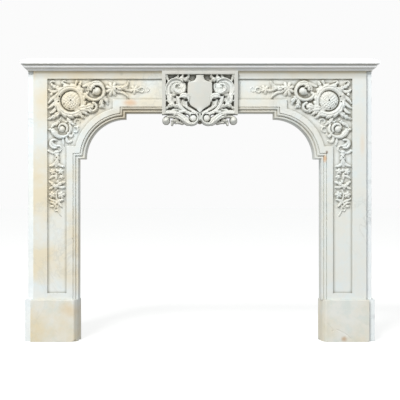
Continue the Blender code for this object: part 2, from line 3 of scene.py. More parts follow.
import bpy
import numpy as np
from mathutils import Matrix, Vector


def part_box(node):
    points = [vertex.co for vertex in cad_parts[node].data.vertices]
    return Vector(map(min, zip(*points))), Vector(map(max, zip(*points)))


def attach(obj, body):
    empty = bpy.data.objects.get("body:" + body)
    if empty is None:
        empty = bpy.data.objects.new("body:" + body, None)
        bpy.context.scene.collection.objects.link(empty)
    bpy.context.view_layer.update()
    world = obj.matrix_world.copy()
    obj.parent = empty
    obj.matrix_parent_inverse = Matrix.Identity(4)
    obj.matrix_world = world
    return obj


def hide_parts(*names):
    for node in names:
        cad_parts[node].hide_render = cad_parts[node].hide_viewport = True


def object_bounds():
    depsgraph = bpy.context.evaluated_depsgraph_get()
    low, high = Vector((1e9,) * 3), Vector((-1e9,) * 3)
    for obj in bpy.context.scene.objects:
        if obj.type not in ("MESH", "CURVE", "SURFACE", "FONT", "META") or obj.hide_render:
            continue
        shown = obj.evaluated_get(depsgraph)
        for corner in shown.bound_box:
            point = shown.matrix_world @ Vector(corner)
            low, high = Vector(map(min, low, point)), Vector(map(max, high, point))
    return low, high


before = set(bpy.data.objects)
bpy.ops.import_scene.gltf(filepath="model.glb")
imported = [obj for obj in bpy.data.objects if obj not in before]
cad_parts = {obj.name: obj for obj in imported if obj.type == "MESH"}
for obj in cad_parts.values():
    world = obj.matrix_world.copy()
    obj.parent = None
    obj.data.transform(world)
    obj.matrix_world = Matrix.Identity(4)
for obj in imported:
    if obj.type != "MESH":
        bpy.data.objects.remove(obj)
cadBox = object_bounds()
cadLow, cadHigh = [list(corner) for corner in cadBox]
mm = 0.001

# Everything is laid out from the wall and the floor: +X right, -Y towards the room, +Z up.
wallY = cadHigh[1]
faceY = wallY - 0.200        # front of the jambs and the frieze
slabBackY = faceY + 0.070


# Small helpers for colours, meshes and nodes

def hexToLinear(text):
    channels = [int(text[i:i + 2], 16) / 255 for i in (1, 3, 5)]
    linear = [c / 12.92 if c <= 0.04045 else ((c + 0.055) / 1.055) ** 2.4 for c in channels]
    return (*linear, 1.0)


def addNode(tree, kind, settings=None, **links):
    node = tree.nodes.new("ShaderNode" + kind)
    for key, value in (settings or {}).items():
        if hasattr(node, key):
            setattr(node, key, value)
        else:
            node.inputs[key].default_value = value
    for key, source in links.items():
        socket = node.inputs[int(key[1:])] if key[0] == "i" and key[1:].isdigit() else node.inputs[key]
        tree.links.new(source, socket)
    return node


def smooth(values, low, high):
    share = np.clip((values - low) / (high - low), 0, 1)
    return share * share * (3 - 2 * share)


def arcPoints(centre, radii, startDegrees, endDegrees, count):
    # points on a quarter of an ellipse, its angle measured from the second axis
    angles = np.radians(np.linspace(startDegrees, endDegrees, count))
    return [(centre[0] + radii[0] * math.sin(t), centre[1] + radii[1] * math.cos(t)) for t in angles]


def latticeNoise(u, v, size, seed):
    # soft seeded noise from -1 to 1, with lumps about one size across
    table = np.random.default_rng(seed).uniform(-1, 1, (64, 64))
    a = np.asarray(u, float) / size + 1000
    b = np.asarray(v, float) / size + 1000
    i, j = np.floor(a).astype(int), np.floor(b).astype(int)
    s, t = a - i, b - j
    s, t = s * s * (3 - 2 * s), t * t * (3 - 2 * t)
    near = table[j % 64, i % 64] * (1 - s) + table[j % 64, (i + 1) % 64] * s
    far = table[(j + 1) % 64, i % 64] * (1 - s) + table[(j + 1) % 64, (i + 1) % 64] * s
    return near * (1 - t) + far * t


def cloudy(u, v, size, seed):
    # three layers of the same noise
    layers = [latticeNoise(u, v, size / 2 ** k, seed + k) / 2 ** k for k in range(3)]
    return sum(layers) / 1.75


def meshObject(name, vertices, faces):
    mesh = bpy.data.meshes.new(name)
    mesh.from_pydata(vertices, [], faces)
    mesh.validate()
    mesh.update()
    obj = bpy.data.objects.new(name, mesh)
    bpy.context.scene.collection.objects.link(obj)
    turnOutwards(obj)
    return obj


def turnOutwards(obj):
    mesh = obj.data
    mesh.calc_loop_triangles()
    points = np.empty(len(mesh.vertices) * 3)
    mesh.vertices.foreach_get("co", points)
    corners = np.empty(len(mesh.loop_triangles) * 3, int)
    mesh.loop_triangles.foreach_get("vertices", corners)
    a, b, c = points.reshape(-1, 3)[corners.reshape(-1, 3)].transpose(1, 0, 2)
    if np.einsum("ij,ij->i", a, np.cross(b, c)).sum() < 0:
        mesh.flip_normals()


def cutOrJoin(obj, other, operation):
    # the other mesh is used up
    modifier = obj.modifiers.new("cut", "BOOLEAN")
    modifier.operation = operation
    modifier.solver = "MANIFOLD"
    modifier.object = other
    evaluated = obj.evaluated_get(bpy.context.evaluated_depsgraph_get())
    result = bpy.data.meshes.new_from_object(evaluated)
    obj.modifiers.clear()
    old = obj.data
    obj.data = result
    bpy.data.meshes.remove(old)
    bpy.data.objects.remove(other)


def boxBetween(low, high):
    bpy.ops.mesh.primitive_cube_add(size=1, location=[(a + b) / 2 for a, b in zip(low, high)])
    obj = bpy.context.active_object
    obj.scale = [b - a for a, b in zip(low, high)]
    bpy.ops.object.transform_apply(location=True, rotation=False, scale=True)
    return obj


def loftRings(name, rings):
    # closed rings of equally many points, joined one to the next, with flat ends
    count = len(rings[0])
    vertices = [point for ring in rings for point in ring]
    faces = [list(range(count))[::-1], [len(vertices) - count + j for j in range(count)]]
    for i in range(len(rings) - 1):
        for j in range(count):
            k = (j + 1) % count
            faces.append((i * count + j, i * count + k, (i + 1) * count + k, (i + 1) * count + j))
    return meshObject(name, vertices, faces)


def carvedBlock(name, across, up, depth, back, place):
    # a block whose front is a height field; its sides run straight back to a flat back
    rows, columns = depth.shape
    a, b = np.meshgrid(across, up)
    index = np.arange(rows * columns).reshape(rows, columns)
    quads = np.stack([index[:-1, :-1], index[:-1, 1:], index[1:, 1:], index[1:, :-1]], axis=-1)
    faces = quads.reshape(-1, 4).tolist()
    rim = np.concatenate([index[0, :-1], index[:-1, -1], index[-1, :0:-1], index[:0:-1, 0]])
    backs = place(a.reshape(-1)[rim], b.reshape(-1)[rim], np.full(len(rim), float(back)))
    vertices = np.concatenate([place(a, b, depth).reshape(-1, 3), backs])
    first = rows * columns
    for i in range(len(rim)):
        j = (i + 1) % len(rim)
        faces.append((int(rim[j]), int(rim[i]), first + i, first + j))
    faces.append(list(range(first, first + len(rim)))[::-1])
    return meshObject(name, vertices.tolist(), faces)


def facingRoom(a, b, depth):
    return np.stack(np.broadcast_arrays(a, faceY + depth, b), axis=-1)


def storeOnPoints(obj, attribute, values):
    layer = obj.data.attributes.new(attribute, "FLOAT", "POINT")
    layer.data.foreach_set("value", np.asarray(values, np.float32))


def pointsOf(obj):
    points = np.empty(len(obj.data.vertices) * 3)
    obj.data.vertices.foreach_get("co", points)
    return points.reshape(-1, 3)


def sampleGrid(values, across, up, x, z):
    # values of a grid at free points, from the four lines around each
    i = np.clip(np.searchsorted(across, x) - 1, 0, len(across) - 2)
    j = np.clip(np.searchsorted(up, z) - 1, 0, len(up) - 2)
    s = np.clip((x - across[i]) / (across[i + 1] - across[i]), 0, 1)
    t = np.clip((z - up[j]) / (up[j + 1] - up[j]), 0, 1)
    low = values[j, i] * (1 - s) + values[j, i + 1] * s
    high = values[j + 1, i] * (1 - s) + values[j + 1, i + 1] * s
    return low * (1 - t) + high * t


def blurred(values, radius):
    # three box blurs one after another, which is close to a Gaussian
    for _ in range(3):
        for axis in (0, 1):
            padded = np.pad(values, [(radius + 1, radius) if k == axis else (0, 0) for k in (0, 1)], "edge")
            total = np.cumsum(padded, axis=axis)
            size = values.shape[axis]
            window = 2 * radius + 1
            values = (np.take(total, range(window, window + size), axis) - np.take(total, range(size), axis)) / window
    return values


def finishPiece(obj, nodes, material, creaseDegrees=50):
    obj.data.materials.clear()
    obj.data.materials.append(material)
    obj.data.shade_smooth()
    obj.data.set_sharp_from_angle(angle=math.radians(creaseDegrees))
    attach(obj, "root")
    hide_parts(*nodes)
    return obj


# The carving is drawn in millimetres on the right-hand side: outward from the middle line and up
# from the floor. The left side is its mirror image. Each row is one form:
# scroll: name, centre, (angle, radius) turns, widths along it, heights at its two ends
# leaf: name, three points along its rib, widths along it, height
# ball: name, centre, half sizes, height
# fan: name, centre, inner and outer radius, lobes, height, angle of the first lobe
cornerRows = (
    ("frond", "rosette band", (528, 986), ((232, 60), (190, 52), (150, 50), (100, 54)), (22, 24, 22), (11, 15, 13), 22, 1),
    ("rose", "rosette disc", (526, 985), (42, 42), 18),
    ("frond", "outer leaf", (529, 984), ((150, 55), (100, 58), (50, 57), (0, 56)), (18, 27, 27, 24), (12, 16, 14), 27, 1),
    ("frond", "under leaf", (528, 984), ((5, 57), (-45, 57), (-95, 58), (-145, 58)), (24, 28, 26, 18), (13, 15, 12), 25, 1),
    ("leaf", "sheath", ((500, 952), (468, 958), (437, 968)), (34, 34, 20), 14),
    ("scroll", "sheath curl", (440, 960), ((100, 17), (180, 17), (270, 16), (340, 11)), (12, 12, 9), (12, 11, 12)),
    ("ball", "sheath eye", (442, 959), (8, 8), 12),
    ("leaf", "sheath lobe 1", ((470, 958), (456, 947), (440, 940)), (17, 17, 9), 11),
    ("leaf", "sheath lobe 2", ((484, 948), (471, 937), (458, 930)), (16, 16, 8), 11),
    ("leaf", "sheath foot", ((496, 938), (486, 925), (474, 915)), (16, 15, 8), 10),
    ("leaf", "edge leaf 1", ((590, 1003), (606, 992), (620, 975)), (15, 14, 6), 9),
    ("leaf", "edge leaf 2", ((592, 978), (607, 964), (621, 955)), (15, 14, 6), 9),
    ("leaf", "edge leaf 3", ((588, 956), (601, 941), (614, 934)), (15, 14, 6), 9),
    ("leaf", "edge leaf 4", ((573, 938), (596, 921), (619, 911)), (22, 20, 8), 11),
    ("ball", "edge bud", (608, 1011), (7, 7), 9),
    ("leaf", "top leaf 1", ((534, 1044), (550, 1050), (562, 1058)), (15, 13, 9), 10),
    ("scroll", "top curl 1", (556, 1058), ((0, 9), (90, 8), (150, 8)), (8, 7, 5), (9, 6)),
    ("leaf", "top leaf 2", ((570, 1034), (596, 1043), (609, 1055)), (17, 15, 10), 10),
    ("scroll", "top curl 2", (602, 1056), ((0, 10), (90, 9), (140, 9)), (9, 8, 6), (10, 8)),
    ("leaf", "corner leaf", ((584, 1026), (604, 1022), (619, 1031)), (15, 13, 6), 8),
    ("leaf", "crest leaf 1", ((500, 1030), (493, 1046), (487, 1062)), (14, 16, 9), 10),
    ("leaf", "crest leaf 2", ((513, 1038), (509, 1050), (504, 1064)), (10, 10, 11), 9),
    ("leaf", "stem", ((499, 1036), (478, 1012), (453, 991)), (11, 11, 11), 10),
    ("ball", "stem ring", (486, 1030), (11, 10), 10),
    ("leaf", "stem husk", ((484, 1010), (468, 1012), (456, 1022)), (14, 16, 9), 9),
    ("leaf", "husk leaf", ((478, 1045), (464, 1049), (449, 1060)), (9, 13, 6), 7),
    ("scroll", "second volute", (424, 1026), ((-20, 46), (-90, 37), (-180, 32), (-270, 27), (-345, 22)), (11, 15, 14), (11, 16, 14)),
    ("frond", "second volute leaf", (424, 1026), ((10, 33), (70, 33), (130, 33), (170, 30)), (12, 16, 9), (12, 15, 12), 11, 1),
    ("ball", "second volute eye", (422, 1025), (18, 17), 15),
    ("leaf", "second volute curl", ((436, 1016), (428, 1031), (437, 1043)), (10, 13, 9), 18),
    ("leaf", "hanging leaf", ((411, 994), (390, 995), (378, 974)), (16, 22, 10), 11),
    ("leaf", "hanging curl", ((398, 992), (403, 974), (392, 957)), (17, 20, 9), 11),
    ("ball", "hanging bud", (407, 962), (7, 7), 8),
)
lowerRows = (
    ("leaf", "lower leaf", ((543, 918), (532, 900), (514, 887)), (14, 17, 7), 8),
    ("scroll", "lower curl", (501, 900), ((-20, 11), (90, 10), (200, 10)), (7, 6, 4.5), (6, 5)),
    ("ball", "lower bead", (499, 880), (6, 6), 5),
    ("scroll", "side curl", (510, 868), ((80, 11), (180, 11), (290, 11)), (7, 7, 5), (6, 5)),
    ("scroll", "third volute rim", (566, 872), ((160, 34), (225, 36), (270, 35), (330, 35)), (7, 11, 23), (7, 11)),
    ("leaf", "third volute tip", ((592, 852), (604, 864), (621, 869)), (23, 19, 3.5), 9),
    ("leaf", "third volute lobe", ((597, 857), (587, 854), (580, 847)), (12, 9, 3.5), 7),
    ("scroll", "third volute", (563, 873), ((215, 21), (180, 20), (90, 17), (0, 14)), (11, 13, 8), (8, 13)),
    ("ball", "third volute eye", (565, 870), (14, 14), 10),
    ("leaf", "flying leaf", ((571, 909), (584, 894), (601, 886)), (9, 16, 11), 8),
    ("leaf", "flying tip", ((593, 891), (603, 882), (610, 872)), (12, 10, 3.5), 7),
    ("leaf", "inner leaf", ((539, 907), (548, 898), (556, 904)), (6, 7, 3.5), 5),
    ("leaf", "rim leaf", ((536, 892), (527, 872), (533, 853)), (7, 9, 5), 6),
    ("leaf", "frond 1", ((540, 854), (529, 840), (519, 848)), (8, 12, 6), 7),
    ("leaf", "frond 2", ((547, 836), (541, 818), (525, 821)), (10, 13, 7), 7),
    ("leaf", "frond 3", ((560, 832), (560, 817), (556, 803)), (8, 12, 3.5), 6),
    ("scroll", "comma leaf", (594, 809), ((110, 17), (20, 18), (-50, 17), (-110, 17)), (9, 14, 7), (8, 9)),
    ("leaf", "comma lobe", ((580, 801), (595, 802), (605, 815)), (6, 12, 7), 8),
    ("scroll", "calyx ring", (579, 789), ((95, 12), (180, 12), (250, 12)), (6, 6, 6), (6, 6)),
    ("ball", "calyx", (586, 776), (11, 7), 8),
    ("leaf", "calyx bud", ((589, 773), (605, 772), (619, 781)), (8, 7, 10), 6),
)
dropRows = (
    ("leaf", "bell stem", ((585, 766), (585, 747), (588, 720)), (18, 21, 15), 9),
    ("leaf", "bell mouth 1", ((584, 732), (574, 721), (558, 716)), (12, 11, 6), 8),
    ("leaf", "bell mouth 2", ((590, 732), (602, 722), (615, 718)), (12, 11, 6), 8),
    ("fan", "ivy 1", (570, 696), (8, 14), 5, 8, 90),
    ("fan", "ivy 2", (603, 695), (8, 14), 5, 8, 70),
    ("ball", "drop bead 1", (586, 700), (4.5, 8), 6),
    ("fan", "ivy 3", (566, 674), (6, 11), 5, 7, 120),
    ("leaf", "drop leaf 1", ((592, 678), (604, 675), (616, 666)), (8, 12, 4), 7),
    ("leaf", "drop leaf 2", ((588, 686), (588, 673), (586, 663)), (7, 12, 4), 7),
    ("leaf", "wing 1", ((592, 626), (577, 643), (555, 652)), (10, 16, 9), 9),
    ("leaf", "wing 2", ((590, 627), (600, 641), (615, 653)), (10, 16, 8), 9),
    ("leaf", "wing lobe 1", ((581, 635), (568, 631), (555, 631)), (9, 12, 7), 7),
    ("leaf", "wing lobe 2", ((596, 636), (606, 630), (616, 624)), (8, 10, 6), 7),
    ("ball", "drop bead 2", (583, 654), (6, 7), 7),
    ("fan", "ivy 4", (568, 600), (10, 16), 5, 9, 100),
    ("fan", "ivy 5", (604, 600), (9, 15), 5, 9, 80),
    ("leaf", "drop stem", ((584, 618), (588, 599), (584, 579)), (6, 7, 7), 6),
    ("leaf", "drop leaf 3", ((587, 567), (573, 577), (559, 580)), (10, 13, 7), 8),
    ("leaf", "drop leaf 4", ((589, 573), (603, 577), (617, 584)), (7, 10, 5), 7),
    ("leaf", "drop leaf 5", ((582, 571), (574, 562), (566, 552)), (10, 11, 5), 7),
    ("leaf", "drop leaf 6", ((589, 555), (599, 565), (613, 569)), (7, 11, 5), 7),
    ("ball", "drop bud", (605, 553), (10, 6), 6),
    ("scroll", "drop ring", (588, 542), ((120, 8), (-10, 8), (-150, 8)), (5, 5, 4), (5, 4)),
    ("leaf", "tail", ((580, 558), (580, 536), (569, 514)), (5, 5, 3), 4),
)
sprayRows = (
    ("fan", "palmette", (358, 1033), (18, 31), 8, 10, 22),
    ("leaf", "trumpet", ((361, 1036), (333, 1036), (304, 1039)), (20, 23, 17), 12),
    ("leaf", "trumpet tip 1", ((320, 1040), (302, 1046), (292, 1064)), (15, 13, 4), 9),
    ("leaf", "trumpet tip 2", ((334, 1022), (311, 1016), (292, 997)), (12, 11, 3.5), 8),
    ("leaf", "trumpet tongue", ((314, 1032), (297, 1029), (282, 1023)), (11, 8, 3.5), 7),
    ("fan", "star", (268, 1031), (7, 19), 5, 7, 54),
    ("leaf", "star stem", ((287, 1031), (263, 1032), (249, 1036)), (6, 6, 5), 6),
    ("scroll", "tendril", (239, 1030), ((40, 10), (180, 10), (320, 10), (400, 9)), (5, 5, 4), (5, 5)),
    ("leaf", "tendril tail", ((229, 1028), (224, 1024), (217, 1023)), (4, 3.5, 3.5), 3),
    ("scroll", "fading curl", (216, 1032), ((-80, 9), (-180, 9), (-290, 8)), (4, 3.5, 3), (3, 2)),
)
blockRows = (
    ("disc", "whorl ground", (90, 1038), (36, 33), 16),
    ("disc", "root ground", (98, 985), (32, 26), 11),
    ("scroll", "upper stem", (97, 1033), ((-58, 42), (-20, 35), (30, 33), (75, 33), (120, 32)), (25, 23, 23, 22, 14), (19, 20, 21, 19)),
    ("scroll", "upper rim", (97, 1033), ((-35, 41), (0, 41), (45, 42), (90, 43), (132, 41)), (8, 8, 9, 9, 7), (23, 25, 27, 28, 25)),
    ("scroll", "upper whorl", (84, 1037), ((140, 26), (180, 24), (225, 20), (270, 15), (315, 17), (360, 21), (405, 20), (445, 15)), (6, 8, 16, 24, 20, 15, 11, 8), (20, 24, 27, 29, 28, 27, 24)),
    ("leaf", "whorl tip", ((99, 1053), (91, 1051), (89, 1041)), (9, 10, 6), 25),
    ("leaf", "whorl cup", ((64, 1050), (72, 1044), (84, 1040)), (15, 15, 8), 20),
    ("leaf", "top leaf", ((90, 1072), (66, 1073), (45, 1066)), (18, 22, 15), 25),
    ("leaf", "top lobe 1", ((62, 1071), (50, 1079), (46, 1092)), (13, 15, 12), 23),
    ("leaf", "top lobe 2", ((84, 1073), (74, 1082), (71, 1092)), (13, 15, 11), 24),
    ("leaf", "top lobe 3", ((98, 1077), (90, 1085), (88, 1092)), (11, 11, 9), 22),
    ("leaf", "corner leaf", ((127, 1062), (134, 1077), (135, 1092)), (9, 13, 10), 23),
    ("leaf", "rim leaf 1", ((119, 1063), (128, 1055), (137, 1050)), (11, 14, 8), 22),
    ("leaf", "rim leaf 2", ((134, 1044), (139, 1028), (137, 1009)), (9, 12, 8), 23),
    ("ball", "turned ground", (68, 976), (24, 24), 13),
    ("scroll", "turned leaf", (65, 992), ((205, 21), (150, 17), (95, 13), (50, 15), (5, 19), (-25, 20)), (9, 18, 27, 26, 15, 11), (24, 29, 33, 33, 28, 22)),
    ("leaf", "turned tip", ((56, 1005), (48, 1004), (41, 1003)), (12, 9, 5), 25),
    ("stem", "turned rib 1", ((70, 994), (68, 978), (58, 960)), (6, 8, 8), 22),
    ("stem", "turned rib 2", ((53, 980), (54, 968), (46, 956)), (6, 8, 8), 21),
    ("stem", "stem 1", ((9, 935), (40, 950), (66, 966)), (10, 15, 13), 22),
    ("stem", "stem 2", ((12, 929), (68, 948), (92, 1000)), (12, 18, 13), 26),
    ("stem", "stem 3", ((76, 956), (112, 972), (131, 1010)), (14, 17, 20), 22),
    ("leaf", "side leaf 1", ((124, 1002), (111, 1008), (99, 1003)), (15, 13, 6), 25),
    ("leaf", "side leaf 2", ((104, 966), (113, 980), (118, 1000)), (10, 14, 10), 25),
    ("leaf", "side leaf 3", ((116, 970), (127, 982), (133, 1000)), (9, 13, 8), 22),
    ("leaf", "edge tip", ((118, 972), (130, 984), (142, 983)), (10, 10, 5), 21),
    ("leaf", "foot leaf 1", ((80, 958), (118, 966), (142, 944)), (13, 18, 9), 25),
    ("leaf", "foot leaf 2", ((70, 942), (94, 950), (116, 944)), (9, 13, 9), 18),
    ("stem", "scroll back", ((152, 938), (104, 937), (58, 943)), (17, 17, 12), 25),
)
# dark gaps cut between the leaves, as (u, v, half sizes, floor)
blockHoles = (
    (33, 1089, (10, 3), -6), (58, 1089, (8, 4), -6), (80, 1089, (6, 4), -6), (111, 1089.5, (20, 2.5), -6),
    (19, 1078, (3, 6), -4), (43, 1074, (3, 4), -4), (55, 1060, (5, 4), -6), (138, 1064, (4, 4), -6),
    (53, 1025, (3, 10), -2), (89, 1007, (7, 4), -3), (101, 1001, (3, 5), -3), (56, 988, (7, 4), -6),
    (75, 993, (8, 3.5), -6), (101, 976, (3, 7), -3), (139, 1000, (2.5, 8), -5), (137, 974, (5, 4), -7),
    (100, 954.5, (14, 1.8), 0), (117, 950, (4, 3), -3), (91, 942, (6, 2), 4), (92, 1046, (4, 3), 14), (98, 1037, (3, 3), 16),
)
hangingRows = (
    ("stem", "scroll body 1", ((154, 937), (100, 934), (58, 906)), (18, 24, 32), 43),
    ("stem", "scroll body 2", ((104, 925), (76, 912), (50, 893)), (13, 19, 18), 40),
    ("scroll", "scroll rim", (29, 912), ((-10, 27), (-90, 20), (-150, 20), (-210, 22), (-275, 26)), (30, 16, 12, 11, 12), (44, 48, 48, 47, 44)),
    ("disc", "scroll disc", (27, 914), (17, 17), 41),
    ("ball", "inner bud", (40, 928), (7, 6), 45),
    ("stem", "tie", ((0, 948), (0, 930), (0, 908)), (15, 17, 12), 37),
    ("ball", "gap ground", (0, 899), (10, 8), 12),
    ("stem", "neck", ((94, 915), (118, 922), (140, 917)), (10, 13, 14), 31),
    ("ball", "scroll ball", (138, 905), (16, 17), 40),
    ("leaf", "curled leaf 1", ((82, 899), (99, 906), (113, 903)), (13, 15, 9), 32),
    ("leaf", "curled leaf 2", ((97, 904), (110, 899), (114, 888)), (11, 13, 8), 29),
    ("leaf", "curled leaf 3", ((72, 894), (86, 897), (99, 895)), (11, 10, 6), 27),
)
hangingHoles = (
    (29, 931, (5, 2), 30), (42, 936, (9, 2), 30), (52, 932, (4, 4), 30), (96, 925, (7, 2), 28), (126, 929, (7, 2), 28),
    (84, 905, (3, 5), 12), (119, 907, (8, 3.5), 8), (13, 912, (1.5, 8), 38), (20, 902, (6, 1.5), 38),
)

# dark gaps and drilled holes of the corners and jambs
drilledHoles = (
    (528, 986, (3, 3), 8), (534, 954, (2.4, 2.4), 2), (556, 971, (2.4, 2.4), 2), (574, 1002, (3, 3), 0),
    (578, 981, (3, 3), 0), (431, 1036, (3.6, 3.6), 4), (574, 905, (3, 3), 0), (587, 753, (2.6, 2.6), 0),
    (341, 1033, (3, 3), 2),
)


canvasStep = 1.0     # spacing of the drawn heights, in mm


def newCanvas(uLow, uHigh, vLow, vHigh):
    u = np.arange(uLow, uHigh + canvasStep, canvasStep)
    v = np.arange(vLow, vHigh + canvasStep, canvasStep)
    return {"u": u, "v": v, "height": np.zeros((len(v), len(u)))}


def windowOf(canvas, uLow, uHigh, vLow, vHigh):
    columns = slice(*np.searchsorted(canvas["u"], (uLow, uHigh)))
    rows = slice(*np.searchsorted(canvas["v"], (vLow, vHigh)))
    u, v = np.meshgrid(canvas["u"][columns], canvas["v"][rows])
    return (rows, columns), u, v


def raiseTo(canvas, place, height):
    canvas["height"][place] = np.maximum(canvas["height"][place], height)


def along(values, share):
    # a smooth row of values read at a share of its length
    place = np.clip(share, 0, 1) * (len(values) - 1)
    k = np.minimum(place.astype(int), len(values) - 2)
    s = place - k
    s = s * s * (3 - 2 * s) if len(values) > 3 else s
    values = np.asarray(values, float)
    return values[k] * (1 - s) + values[k + 1] * s


def scrollPath(centre, turns, spacing=2.5):
    angles, radii = np.array(turns, float).T
    share = np.linspace(0, 1, 200)
    knots = np.linspace(0, 1, len(turns))
    angle = np.radians(np.interp(share, knots, angles))
    radius = np.interp(share, knots, radii)
    radius = np.convolve(np.pad(radius, 12, "edge"), np.ones(25) / 25, "valid")
    points = np.stack([centre[0] + radius * np.cos(angle), centre[1] + radius * np.sin(angle)], axis=1)
    length = np.linalg.norm(np.diff(points, axis=0), axis=1).sum()
    pick = np.linspace(0, 199, max(4, round(length / spacing))).astype(int)
    return points[pick]


def leafPath(start, middle, end, spacing=2.5):
    start, middle, end = (np.array(p, float) for p in (start, middle, end))
    pull = 2 * middle - 0.5 * (start + end)
    length = np.linalg.norm(middle - start) + np.linalg.norm(end - middle)
    t = np.linspace(0, 1, max(4, round(length / spacing)))[:, None]
    return (1 - t) ** 2 * start + 2 * t * (1 - t) * pull + t * t * end


def nearestOn(path, u, v):
    # for each point: its share along the path, its sideways distance and its distance
    lengths = np.concatenate([[0], np.cumsum(np.linalg.norm(np.diff(path, axis=0), axis=1))])
    best = np.full(u.shape, 1e9)
    share, side = np.zeros(u.shape), np.zeros(u.shape)
    for i in range(len(path) - 1):
        step = path[i + 1] - path[i]
        size = np.hypot(*step)
        du, dv = u - path[i][0], v - path[i][1]
        t = np.clip((du * step[0] + dv * step[1]) / size ** 2, 0, 1)
        away = np.hypot(du - t * step[0], dv - t * step[1])
        near = away < best
        best = np.where(near, away, best)
        share = np.where(near, (lengths[i] + t * size) / lengths[-1], share)
        side = np.where(near, (du * -step[1] + dv * step[0]) / size, side)
    return share, side, best


carvingStyle = {
    "lean": 0.9,           # how far a lobe leans towards the tip, as a share of its distance from the axis
    "notch": 0.40,         # how far a leaf draws in between its lobes
    "tooth": 0.10,         # how far it draws in between the small teeth of a lobe
    "vein": 0.26,          # how deep its grooves are, as a share of its height
    "rib": 0.24,           # how deep the groove along its axis is
    "plainBelow": 16,      # narrower leaves, in mm, have no lobes
    "chisel": 0.5,         # mm that tool marks rise and fall
}


def overBand(canvas, path, widths):
    reach = 0.75 * max(widths)
    low, high = path.min(0) - reach, path.max(0) + reach
    place, u, v = windowOf(canvas, low[0], high[0], low[1], high[1])
    share, side, away = nearestOn(path, u, v)
    return place, share, side, away


def lengthOf(path):
    return np.linalg.norm(np.diff(path, axis=0), axis=1).sum()


def drawFoliage(canvas, path, widths, heights, lobe, lobedSide=0):
    # a leaf along a path; its lobes are on both sides, or on the side named by its sign
    style = carvingStyle
    place, share, side, away = overBand(canvas, path, widths)
    half = 0.60 * along(widths, share)
    stage = (share * lengthOf(path) - style["lean"] * away) / lobe
    swing = 1 - np.abs(2 * (stage % 1) - 1) ** 1.7
    teeth = 1 - np.abs(2 * (2 * stage % 1) - 1) ** 2
    lobed = (side * lobedSide >= 0) | (lobedSide == 0)
    drawnIn = 1 - lobed * (style["notch"] * (1 - swing) + style["tooth"] * (1 - teeth) * (lobe > 16))
    s = away / (half * drawnIn)
    crown = np.clip(1 - s ** 2.6, 0, 1) ** 0.55
    rib = 1 - style["rib"] * np.exp(-(s / 0.15) ** 2)
    veins = 1 - style["vein"] * (1 - swing ** 0.7) * smooth(s, 0.05, 0.45) * lobed
    ends = np.clip(0.70 + 2.4 * share, 0, 1) * np.clip(0.55 + 3 * (1 - share), 0, 1)
    raiseTo(canvas, place, crown * rib * veins * ends * along(heights, share))


def drawRound(canvas, path, widths, heights):
    # a smooth rounded stem, with a channel along a broad one
    place, share, side, away = overBand(canvas, path, widths)
    wide = along(widths, share)
    s = away / (0.5 * wide)
    channel = 0.14 * np.exp(-(s / 0.28) ** 2) * smooth(wide, 11, 16)
    raiseTo(canvas, place, np.clip(1 - s ** 2.2, 0, 1) ** 0.5 * (1 - channel) * along(heights, share))


def drawScroll(canvas, name, centre, turns, widths, heights):
    drawRound(canvas, scrollPath(centre, turns), widths, heights)


def drawFrond(canvas, name, centre, turns, widths, heights, lobe, lobedSide):
    drawFoliage(canvas, scrollPath(centre, turns), widths, heights, lobe, lobedSide)


def drawLeaf(canvas, name, points, widths, height):
    path = leafPath(*points)
    if max(widths) < carvingStyle["plainBelow"]:
        drawBlade(canvas, path, widths, height)
    else:
        lobe = max(0.85 * max(widths), lengthOf(path) / 3)
        drawFoliage(canvas, path, widths, (height, height), lobe)


def drawBlade(canvas, path, widths, height):
    # a small leaf without lobes, folded along its axis
    place, share, side, away = overBand(canvas, path, widths)
    s = away / (0.56 * along(widths, share))
    fold = 0.22 * np.exp(-(s / 0.16) ** 2) * smooth(1 - share, 0.1, 0.3) * (max(widths) > 9)
    raiseTo(canvas, place, np.clip(1 - s ** 2.2, 0, 1) ** 0.6 * (1 - fold) * (0.78 + 0.22 * share) * height)


def drawStem(canvas, name, points, widths, height):
    drawRound(canvas, leafPath(*points), widths, (height, height))


def drawBall(canvas, name, centre, sizes, height):
    place, u, v = windowOf(canvas, centre[0] - sizes[0], centre[0] + sizes[0],
                           centre[1] - sizes[1], centre[1] + sizes[1])
    r = np.hypot((u - centre[0]) / sizes[0], (v - centre[1]) / sizes[1])
    body = np.sqrt(np.clip(1 - r ** 2, 0, 1))
    raiseTo(canvas, place, body * height)


def drawDisc(canvas, name, centre, sizes, height):
    # a button with a nearly flat top
    place, u, v = windowOf(canvas, centre[0] - sizes[0], centre[0] + sizes[0],
                           centre[1] - sizes[1], centre[1] + sizes[1])
    r = np.hypot((u - centre[0]) / sizes[0], (v - centre[1]) / sizes[1])
    raiseTo(canvas, place, np.clip(1 - r ** 5, 0, 1) ** 0.5 * (1 - 0.08 * r ** 2) * height)


def drawRose(canvas, name, centre, sizes, height):
    # a domed flower: a drilled button, then rings of small petals that lie over each other in a spiral
    place, u, v = windowOf(canvas, centre[0] - sizes[0], centre[0] + sizes[0],
                           centre[1] - sizes[1], centre[1] + sizes[1])
    r = np.hypot((u - centre[0]) / sizes[0], (v - centre[1]) / sizes[1])
    angle = np.arctan2(v - centre[1], u - centre[0])
    row = 5.0 * r - angle / (2 * math.pi)
    ring = np.floor(row)
    petal = np.abs(np.cos(angle * (2 + 2 * ring) + 1.7 * ring))
    lift = (row - ring) ** 0.6
    dome = np.clip(1 - r ** 3, 0, 1) ** 0.5
    ruffle = 0.20 * (0.5 + 0.5 * petal ** 0.7) * lift - 0.06 * (1 - petal) ** 2
    button = 0.16 * np.exp(-(r / 0.16) ** 4)
    raiseTo(canvas, place, dome * (0.76 + ruffle * smooth(r, 0.08, 0.2) + button) * height)


